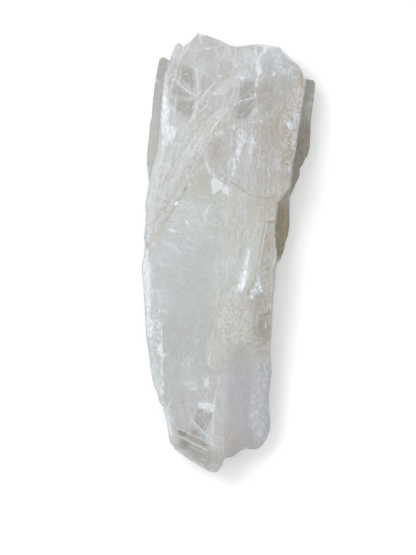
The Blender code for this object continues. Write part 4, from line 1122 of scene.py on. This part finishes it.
class NodeBench:
    """Short calls for building a material: each makes its nodes and returns the output socket."""

    def __init__(self, material):
        material.use_nodes = True
        self.tree = material.node_tree
        self.tree.nodes.clear()
        self.count = 0

    def node(self, kind, **settings):
        columns, width, height = 12, 220, 240
        made = self.tree.nodes.new(kind)
        made.location = (width * (self.count % columns), -height * (self.count // columns))
        self.count += 1
        for name, value in settings.items():
            setattr(made, name, value)
        return made

    def feed(self, socket, value):
        if isinstance(value, bpy.types.NodeSocket):
            self.tree.links.new(value, socket)
        elif isinstance(value, (int, float)):
            socket.default_value = value
        else:
            socket.default_value = tuple(value) if len(value) == len(socket.default_value) else (*value, 1.0)

    def math(self, operation, a, b=0.0, c=0.0, clamp=False):
        made = self.node("ShaderNodeMath", operation=operation, use_clamp=clamp)
        for socket, value in zip(made.inputs, (a, b, c)):
            self.feed(socket, value)
        return made.outputs[0]

    def times(self, a, b, clamp=False):
        """a times b."""
        return self.math("MULTIPLY", a, b, clamp=clamp)

    def times_plus(self, a, b, c, clamp=False):
        """a times b, plus c."""
        return self.math("MULTIPLY_ADD", a, b, c, clamp)

    def most(self, first, *others, clamp=False):
        """The largest of some values."""
        for other in others:
            first = self.math("MAXIMUM", first, other, clamp=clamp)
        return first

    def broken(self, value, *breaks):
        """A value moved by patterns: each adds its height above 0.5, times its strength."""
        for pattern, strength in breaks:
            value = self.times_plus(self.math("SUBTRACT", pattern, 0.5), strength, value)
        return value

    def mix(self, share, a, b):
        """Colour a, with this share of it replaced by colour b."""
        made = self.node("ShaderNodeMix", data_type="RGBA")
        self.feed(made.inputs["Factor"], share)
        colours = [socket for socket in made.inputs if socket.type == "RGBA"]
        self.feed(colours[0], a)
        self.feed(colours[1], b)
        return next(socket for socket in made.outputs if socket.type == "RGBA")

    def mark(self, name):
        """A mark that the mesh carries."""
        return self.node("ShaderNodeAttribute", attribute_name=name).outputs["Fac"]

    def range(self, value, low, high, to_low=0.0, to_high=1.0):
        """Smooth step between two levels, which may be the wrong way round."""
        made = self.node("ShaderNodeMapRange", interpolation_type="SMOOTHSTEP")
        for name, number in (("From Min", low), ("From Max", high), ("To Min", to_low), ("To Max", to_high)):
            made.inputs[name].default_value = number
        self.feed(made.inputs["Value"], value)
        return made.outputs[0]

    def place(self, size, turn):
        """Places on the piece, turned, and counted in cells of this size in millimetres."""
        coordinates = self.node("ShaderNodeTexCoord").outputs["Object"]
        made = self.node("ShaderNodeMapping", vector_type="TEXTURE")
        made.inputs["Rotation"].default_value = (0.0, 0.0, turn)
        made.inputs["Scale"].default_value = tuple(length * MM for length in size)
        self.feed(made.inputs["Vector"], coordinates)
        return made.outputs[0]

    def noise(self, size, turn=0.0, detail=3.0, roughness=0.55, distortion=0.0):
        """A cloudy pattern."""
        made = self.node("ShaderNodeTexNoise")
        self.feed(made.inputs["Vector"], self.place(size, turn))
        made.inputs["Scale"].default_value = 1.0
        made.inputs["Detail"].default_value = detail
        made.inputs["Roughness"].default_value = roughness
        made.inputs["Distortion"].default_value = distortion
        return made.outputs["Fac"]

    def plates(self, size, turn, edges=False):
        """Straight-sided cells: a flat tone in each, or the distance to the nearest side."""
        made = self.node("ShaderNodeTexVoronoi", feature="DISTANCE_TO_EDGE" if edges else "F1")
        self.feed(made.inputs["Vector"], self.place(size, turn))
        made.inputs["Scale"].default_value = 1.0
        return made.outputs["Distance" if edges else "Color"]

    def drawn_line(self, strength, side, *breaks):
        """A line with rough edges: full within a third of its half width and gone just past all of it, after
        each breaking pattern has moved the edge in or out."""
        edge = self.broken(self.math("ABSOLUTE", side), *breaks)
        return self.times(self.range(edge, 1.10, 0.35), strength, clamp=True)


def milky_ground(bench, finish, marks, noise, calm):
    """The cloudy crystal's colour: two greys in clouds and the tints of the faces, then the tinted places,
    and over them the plates, streaks and mottles."""
    colour = bench.mix(bench.range(noise["cloud"], 0.30, 0.70), finish.milk_grey, finish.milk_white)
    colour = bench.mix(bench.times(marks["green"], 0.85), colour, finish.face_tint)
    colour = bench.mix(bench.times(marks["lilac"], 0.9), colour, finish.lobe_tint)
    for name, levels, colour_name in TINTED_PLACES:
        share = bench.times(marks[name], bench.range(noise["small_cloud"], *levels))
        colour = bench.mix(share, colour, getattr(finish, colour_name))
    places = {
        **marks,
        "calm": calm,
        "frosted": bench.times_plus(marks["frost"], 0.30, calm),
        "bunched": bench.times(marks["fibrous"], bench.range(noise["bundle"], 0.42, 0.62)),
        "between": bench.times(marks["fibrous"], bench.range(noise["bundle"], 0.56, 0.36)),
        "crumbs": bench.times(marks["frost"], marks["warm"]),
    }
    for pattern, low, high, place, there, everywhere, colour_name in STREAKS:
        share = bench.times_plus(places[place], there, everywhere)
        share = bench.times(bench.range(noise[pattern], low, high), share)
        colour = bench.mix(share, colour, getattr(finish, colour_name))
    return colour


def shades_and_windows(bench, finish, marks, noise, colour):
    """The ground with the shaded ledges and the clear windows laid over it. A window looks smoky, because
    little light comes back from it. Returns the share that is window too."""
    small_cloud, mottle = noise["small_cloud"], noise["mottle"]
    shade = bench.times(marks["shade"], bench.range(small_cloud, 0.34, 0.62, 1.0, 0.80))
    shade = bench.times(shade, bench.range(mottle, 0.30, 0.70, 1.08, 0.86), clamp=True)
    ledge_tint = bench.mix(marks["warm"], finish.strip_tint, finish.earth_tint)
    colour = bench.mix(shade, colour, ledge_tint)
    window = bench.times(marks["clear"], bench.range(small_cloud, 0.15, 0.55, 0.65, 1.0), clamp=True)
    stripe = bench.range(bench.broken(marks["stripe"], (mottle, 1.2)), -0.25, 0.55, 0.0, 0.60)
    window = bench.most(window, stripe)
    smoke = bench.mix(bench.times(shade, 0.55), finish.smoke_tint, finish.strip_tint)
    return bench.mix(window, colour, smoke), window


def fine_marks(bench, finish, marks, noise, calm, window, colour):
    """The last and smallest marks: pits, white veins and the painted highlights of lit edges, bruises and
    the painted highlight of the glare line, frost, flakes and hairline cracks, painted glints on specks that
    catch the light and on the pale rims, and rusty stains. Returns the share that is white too."""
    small_cloud, mottle, grit = noise["small_cloud"], noise["mottle"], noise["grit"]
    pit = bench.times(bench.range(grit, 0.40, 0.24), bench.times(calm, 0.32))
    pit = bench.times(pit, bench.range(window, 0.0, 0.60, 1.0, 0.15))
    colour = bench.mix(pit, colour, finish.dim_grey)

    vein = bench.drawn_line(marks["vein"], marks["vein_side"], (grit, -1.9), (mottle, -1.5))
    plate_edge = bench.plates(PLATE_SIZE, PLATE_TURN, edges=True)
    hairline = bench.times(bench.range(plate_edge, 0.035, 0.010), marks["thin"])
    hairline = bench.times(hairline, bench.range(small_cloud, 0.45, 0.62, 0.0, 0.50))
    rim = bench.broken(marks["bruise"], (small_cloud, 1.0), (noise["hair_fibre"], 2.1), (grit, 2.2))
    bruise = bench.times(bench.range(rim, 0.20, 1.30), bench.range(marks["bruise"], 0.0, 0.30))
    sugar = bench.times_plus(grit, 0.6, bench.times(mottle, 0.4))
    frost = bench.times(marks["frost"], bench.range(sugar, 0.50, 0.585, 0.0, 0.92))
    flake = bench.range(bench.broken(marks["flake"], (grit, 0.6)), -0.12, 0.16)
    flake = bench.times(flake, bench.range(grit, 0.30, 0.65, 0.40, 0.72))
    white = bench.most(bench.times(vein, 0.9), hairline, bruise, frost, flake, clamp=True)
    colour = bench.mix(white, colour, finish.white_and_highlight)

    sparkle = bench.most(marks["band"], marks["frost"], marks["bruise"])
    glint = bench.times(bench.range(noise["speck"], 0.64, 0.71), bench.times_plus(sparkle, 0.60, 0.20))
    glint = bench.times(glint, bench.times_plus(calm, 0.6, 0.4))
    spark = bench.times(bench.range(grit, 0.59, 0.70), bench.times(marks["band"], 0.50))
    # Painted glow: glints on the palest, lit rims
    glow = bench.times(bench.range(marks["pale"], 0.84, 1.0), bench.range(mottle, 0.30, 0.60, 0.10, 0.52))
    flash = bench.times(bench.range(marks["bruise"], 0.95, 1.15), bench.range(grit, 0.30, 0.56, 0.25, 0.95))
    glint = bench.most(glint, spark, glow, flash)
    colour = bench.mix(glint, colour, finish.spark_white)
    white = bench.most(white, glint, clamp=True)

    stain = bench.drawn_line(marks["stain"], marks["stain_side"], (mottle, -3.2), (grit, -3.4))
    stain = bench.times(stain, bench.range(small_cloud, 0.36, 0.58, 0.58, 1.0))
    return bench.mix(stain, colour, finish.stain_tan), white


def crystal_colour(bench, finish, marks, noise):
    """The crystal's colour: a milky ground, then painted shade and clear windows, and last the white and
    rusty marks, among them painted highlights and glints. Calm faces show less of each pattern. Returns it
    with the shares that are window and white."""
    calm = 1.0
    for name, less in (("green", 0.50), ("thin", 0.62), ("lilac", 0.55), ("pale", 0.30)):
        calm = bench.times_plus(marks[name], -less, calm)
    calm = bench.most(calm, 0.0)
    colour = milky_ground(bench, finish, marks, noise, calm)
    colour, window = shades_and_windows(bench, finish, marks, noise, colour)
    colour, white = fine_marks(bench, finish, marks, noise, calm, window, colour)
    return colour, window, white


def crystal_relief(bench, marks, noise, window):
    """Fine relief too small for the mesh, flat in the clear windows: fibres, splinters, grit and the joints
    between the layers of the walls, each a pattern times the place that takes it, added up."""
    rough = bench.times_plus(marks["frost"], 1.1, 0.25)
    rough = bench.times_plus(marks["bruise"], 0.6, rough)
    height = bench.times(noise["fibre"], bench.times_plus(marks["fibrous"], 0.7, 0.2))
    height = bench.times_plus(noise["fine_fibre"], 0.35, height)
    height = bench.times_plus(noise["grit"], rough, height)
    height = bench.times_plus(bench.times(noise["splinter"], marks["band"]), 0.9, height)
    height = bench.times_plus(bench.times(noise["layers"], marks["wall"]), 2.2, height)
    height = bench.times(height, bench.range(window, 0.0, 0.42, 1.0, 0.03))
    bump = bench.node("ShaderNodeBump")
    bump.inputs["Strength"].default_value = 0.7
    bump.inputs["Distance"].default_value = 0.38 * MM
    bench.feed(bump.inputs["Height"], height)
    return bump.outputs["Normal"]


def selenite(finish, mark_names):
    """Milky see-through crystal. Marks carried by the mesh, broken up by fine patterns, choose between the
    named colours, how much light goes through, how rough the skin is, and its fine relief."""
    material = bpy.data.materials.new("selenite_crystal")
    bench = NodeBench(material)
    marks = {name: bench.mark(name) for name in mark_names}
    noise = {name: bench.noise(*pattern) for name, pattern in PATTERNS.items()}
    noise["plate"] = bench.plates(PLATE_SIZE, PLATE_TURN)
    colour, window, white = crystal_colour(bench, finish, marks, noise)

    shader = bench.node("ShaderNodeBsdfPrincipled")
    bench.feed(shader.inputs["Base Color"], colour)
    window_gain = finish.window_see_through - finish.see_through
    through = bench.times_plus(window, window_gain, finish.see_through)
    through = bench.times(through, bench.times_plus(white, -0.8, 1.0), clamp=True)
    bench.feed(shader.inputs["Transmission Weight"], through)
    rough = bench.times_plus(window, -0.20, finish.skin_roughness)
    rough = bench.times_plus(white, 0.14, rough)
    rough = bench.times_plus(marks["frost"], 0.15, rough)
    rough = bench.times_plus(bench.range(noise["fine_fibre"], 0.3, 0.7), 0.10, rough, clamp=True)
    bench.feed(shader.inputs["Roughness"], rough)
    shader.inputs["IOR"].default_value = finish.refraction
    bench.feed(shader.inputs["Normal"], crystal_relief(bench, marks, noise, window))

    depth_tint = bench.node("ShaderNodeVolumeAbsorption")
    depth_tint.inputs["Color"].default_value = (*finish.depth_tint, 1.0)
    depth_tint.inputs["Density"].default_value = finish.depth_density
    output = bench.node("ShaderNodeOutputMaterial")
    bench.feed(output.inputs["Surface"], shader.outputs["BSDF"])
    bench.feed(output.inputs["Volume"], depth_tint.outputs["Volume"])
    return material


# ---------------------------------------------------------------------------------------------------
# Settings
# ---------------------------------------------------------------------------------------------------
def tint(name, description, default):
    """A colour setting."""
    return bpy.props.FloatVectorProperty(
        name=name, description=description, subtype="COLOR", size=3, min=0.0, max=1.0, default=default
    )


def amount(name, description, default, **limits):
    """A number setting that is never below 0."""
    return bpy.props.FloatProperty(name=name, description=description, default=default, min=0.0, **limits)


def fraction(name, description, default):
    """A setting from 0 to 1."""
    return amount(name, description, default, max=1.0, subtype="FACTOR")


class SeleniteForm(bpy.types.PropertyGroup):
    """How strongly the blade's fine forms stand out."""

    relief: amount("Relief", "Strength of fibres, splinters and chips", 1.0, max=2.0)


class SeleniteFinish(bpy.types.PropertyGroup):
    """Colours and clearness of the crystal."""

    milk_white: tint("Milk white", "Cloudy crystal where it is palest", (0.556, 0.560, 0.550))
    milk_grey: tint("Milk grey", "Cloudy crystal where it is deepest", (0.446, 0.447, 0.432))
    face_tint: tint("Face tint", "Smooth flat face, faintly green", (0.476, 0.505, 0.498))
    lobe_tint: tint("Lobe tint", "Side facet of the near lobe, faintly purple", (0.425, 0.425, 0.448))
    cream_tint: tint("Cream tint", "Warm cloudy places", (0.500, 0.414, 0.340))
    cream_shadow: tint("Cream shadow", "Between the splinters of the broken band", (0.450, 0.424, 0.345))
    dim_grey: tint("Dim grey", "Places where the milk is thin", (0.350, 0.335, 0.300))
    smoke_tint: tint("Smoke tint", "Clear windows", (0.540, 0.532, 0.512))
    straw_tint: tint("Straw tint", "Yellowish milk beside the glare line", (0.535, 0.556, 0.430))
    strip_tint: tint("Strip tint", "Shaded ledges at the foot of the sides", (0.262, 0.223, 0.160))
    earth_tint: tint("Earth tint", "Shaded ledges where rusty dirt shows through", (0.272, 0.218, 0.122))
    # This white also paints highlights: the glare line, lit edges, pale rims and the pale places that catch
    # the light
    white_and_highlight: tint("Bruise white", "Veins, bruises and cracks", (0.650, 0.694, 0.745))
    spark_white: tint("Spark white", "Specks that catch the light", (0.830, 0.840, 0.850))
    stain_tan: tint("Stain tan", "Rusty dirt in joints", (0.405, 0.292, 0.185))
    depth_tint: tint("Depth tint", "What is left of white light inside the crystal", (0.895, 0.902, 0.893))
    depth_density: amount("Depth density", "How fast the depth tint builds up, per metre", 8.0)
    see_through: fraction("See through", "Share of light that enters milky crystal", 0.30)
    window_see_through: fraction("Window see through", "Share of light that enters a clear window", 0.55)
    skin_roughness: fraction("Skin roughness", "Roughness of the milky skin", 0.34)
    refraction: amount("Refraction", "Index of refraction of gypsum", 1.52, max=3.0)


class StudioSettings(bpy.types.PropertyGroup):
    """Floor, light and camera."""

    floor_tint: tint("Floor tint", "Plain pale floor", (0.93, 0.93, 0.93))
    sky_strength: amount("Sky strength", "Even light from all sides", 1.03)
    key_power: amount("Key power", "Power of the large soft lamp", 17.0, unit="POWER")
    camera_height: amount("Camera height", "Camera above the blade's upper side", 2.0, unit="LENGTH")


# ---------------------------------------------------------------------------------------------------
# Operators
# ---------------------------------------------------------------------------------------------------
class GrowBlade(bpy.types.Operator):
    """Grow the selenite blade as one closed crystal"""

    bl_idname = "selenite.grow_blade"
    bl_label = "Grow blade"

    def execute(self, context):
        form, finish = context.scene.selenite_form, context.scene.selenite_finish
        x, y = blade_plan()
        marks = crystal_marks(x, y)
        z = blade_top(x, y, marks, form.relief)
        marks = side_marks(x, y, marks)
        places, faces = blade_surface(x, y, z)
        mesh = bpy.data.meshes.new("blade_crystal")
        mesh.from_pydata(places * MM, [], [corners for part in faces for corners in part.tolist()])
        mesh.validate()

        patch_size = (UNDER_ROWS + 1) * (UNDER_COLUMNS + 1)
        below_size = len(places) - x.size
        below = marks_below(places[x.size : -patch_size, 0], patch_size)
        for name, values in marks.items():
            rest = np.broadcast_to(below.get(name, 0.0), below_size)
            layer = mesh.attributes.new(name, "FLOAT", "POINT")
            layer.data.foreach_set("value", np.concatenate([values.reshape(-1), rest]).astype(np.float32))
        mesh.materials.append(selenite(finish, marks))

        # The top and the underside are smooth, and the wall's faces are flat, so that its layers stay crisp
        top_count, wall_count = len(faces[0]), len(faces[1])
        mesh.shade_smooth()
        smooth = np.ones(len(mesh.polygons), bool)
        smooth[top_count : top_count + wall_count] = False
        mesh.polygons.foreach_set("use_smooth", smooth)
        mesh.update()
        piece = bpy.data.objects.new("blade_crystal", mesh)
        context.scene.collection.objects.link(piece)
        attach(piece, "root")
        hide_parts(NODE)
        return {"FINISHED"}


def studio_paper(studio):
    """Matt pale paper with a faint tooth."""
    deeper_tint, tooth_size, share = (0.86, 0.86, 0.86), (2.0, 2.0, 2.0), 0.02
    material = bpy.data.materials.new("studio_paper")
    bench = NodeBench(material)
    shader = bench.node("ShaderNodeBsdfPrincipled")
    tooth = bench.range(bench.noise(tooth_size, detail=2.0), 0.3, 0.7, 0.0, share)
    bench.feed(shader.inputs["Base Color"], bench.mix(tooth, studio.floor_tint, deeper_tint))
    shader.inputs["Roughness"].default_value = 0.9
    output = bench.node("ShaderNodeOutputMaterial")
    bench.feed(output.inputs["Surface"], shader.outputs["BSDF"])
    return material


class SetStage(bpy.types.Operator):
    """Lay the floor and place the lamp, the sky and the camera"""

    bl_idname = "selenite.set_stage"
    bl_label = "Set stage"

    def execute(self, context):
        studio = context.scene.selenite_studio
        floor_size, floor_drop = 8.0, 0.0003
        bpy.ops.mesh.primitive_plane_add(size=floor_size, location=(0.0, 0.0, -floor_drop))
        floor = context.object
        floor.name = "studio_floor"
        floor.data.materials.append(studio_paper(studio))

        sky = bpy.data.worlds.new("studio_sky")
        sky.use_nodes = True
        background = sky.node_tree.nodes["Background"]
        background.inputs["Color"].default_value = (1.0, 1.0, 1.0, 1.0)
        background.inputs["Strength"].default_value = studio.sky_strength
        context.scene.world = sky

        # The lamp stands to the far left, and looks at the middle of the blade
        lamp_place, lamp_width = (-0.95, 0.75, 1.55), 1.2
        lamp = bpy.data.lights.new("key_lamp", "AREA")
        lamp.shape, lamp.size, lamp.energy = "DISK", lamp_width, studio.key_power
        key = bpy.data.objects.new("key_lamp", lamp)
        key.location = lamp_place
        direction = -key.location
        key.rotation_mode = "QUATERNION"
        key.rotation_quaternion = direction.to_track_quat("-Z", "Y")
        context.scene.collection.objects.link(key)

        # The camera looks straight down just off the blade's middle, and its view is this many squares long
        # at the blade's upper side
        view_squares, face_height = 555, 34.0 * MM
        view_centre = (-13.3 * MM, -15.5 * MM)
        view_length = view_squares * GRID_SQUARE * MM
        data = bpy.data.cameras.new("camera")
        data.sensor_width = 36.0
        data.lens = data.sensor_width * studio.camera_height / view_length
        data.clip_end = 20.0
        camera = bpy.data.objects.new("camera", data)
        camera.location = (*view_centre, face_height + studio.camera_height)
        context.scene.collection.objects.link(camera)
        context.scene.camera = camera
        context.scene.view_settings.view_transform = "Standard"
        return {"FINISHED"}


class SelenitePanel(bpy.types.Panel):
    """Lists the steps and the settings"""

    bl_label = "Selenite blade"
    bl_idname = "VIEW3D_PT_selenite_blade"
    bl_space_type = "VIEW_3D"
    bl_region_type = "UI"
    bl_category = "Selenite"

    def draw(self, context):
        layout = self.layout
        for step in STEPS:
            layout.operator(step.bl_idname)
        for group in SETTINGS:
            settings = getattr(context.scene, group)
            for name in settings.__annotations__:
                layout.prop(settings, name)


STEPS = (GrowBlade, SetStage)
SETTINGS = {
    "selenite_form": SeleniteForm,
    "selenite_finish": SeleniteFinish,
    "selenite_studio": StudioSettings,
}
CLASSES = (*SETTINGS.values(), *STEPS, SelenitePanel)


def register():
    for group in CLASSES:
        bpy.utils.register_class(group)
    for name, group in SETTINGS.items():
        setattr(bpy.types.Scene, name, bpy.props.PointerProperty(type=group))


def unregister():
    for name in SETTINGS:
        delattr(bpy.types.Scene, name)
    for group in reversed(CLASSES):
        bpy.utils.unregister_class(group)


def main():
    """Registers the add-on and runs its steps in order."""
    register()
    bpy.ops.selenite.grow_blade()
    bpy.ops.selenite.set_stage()


if __name__ == "__main__":
    main()
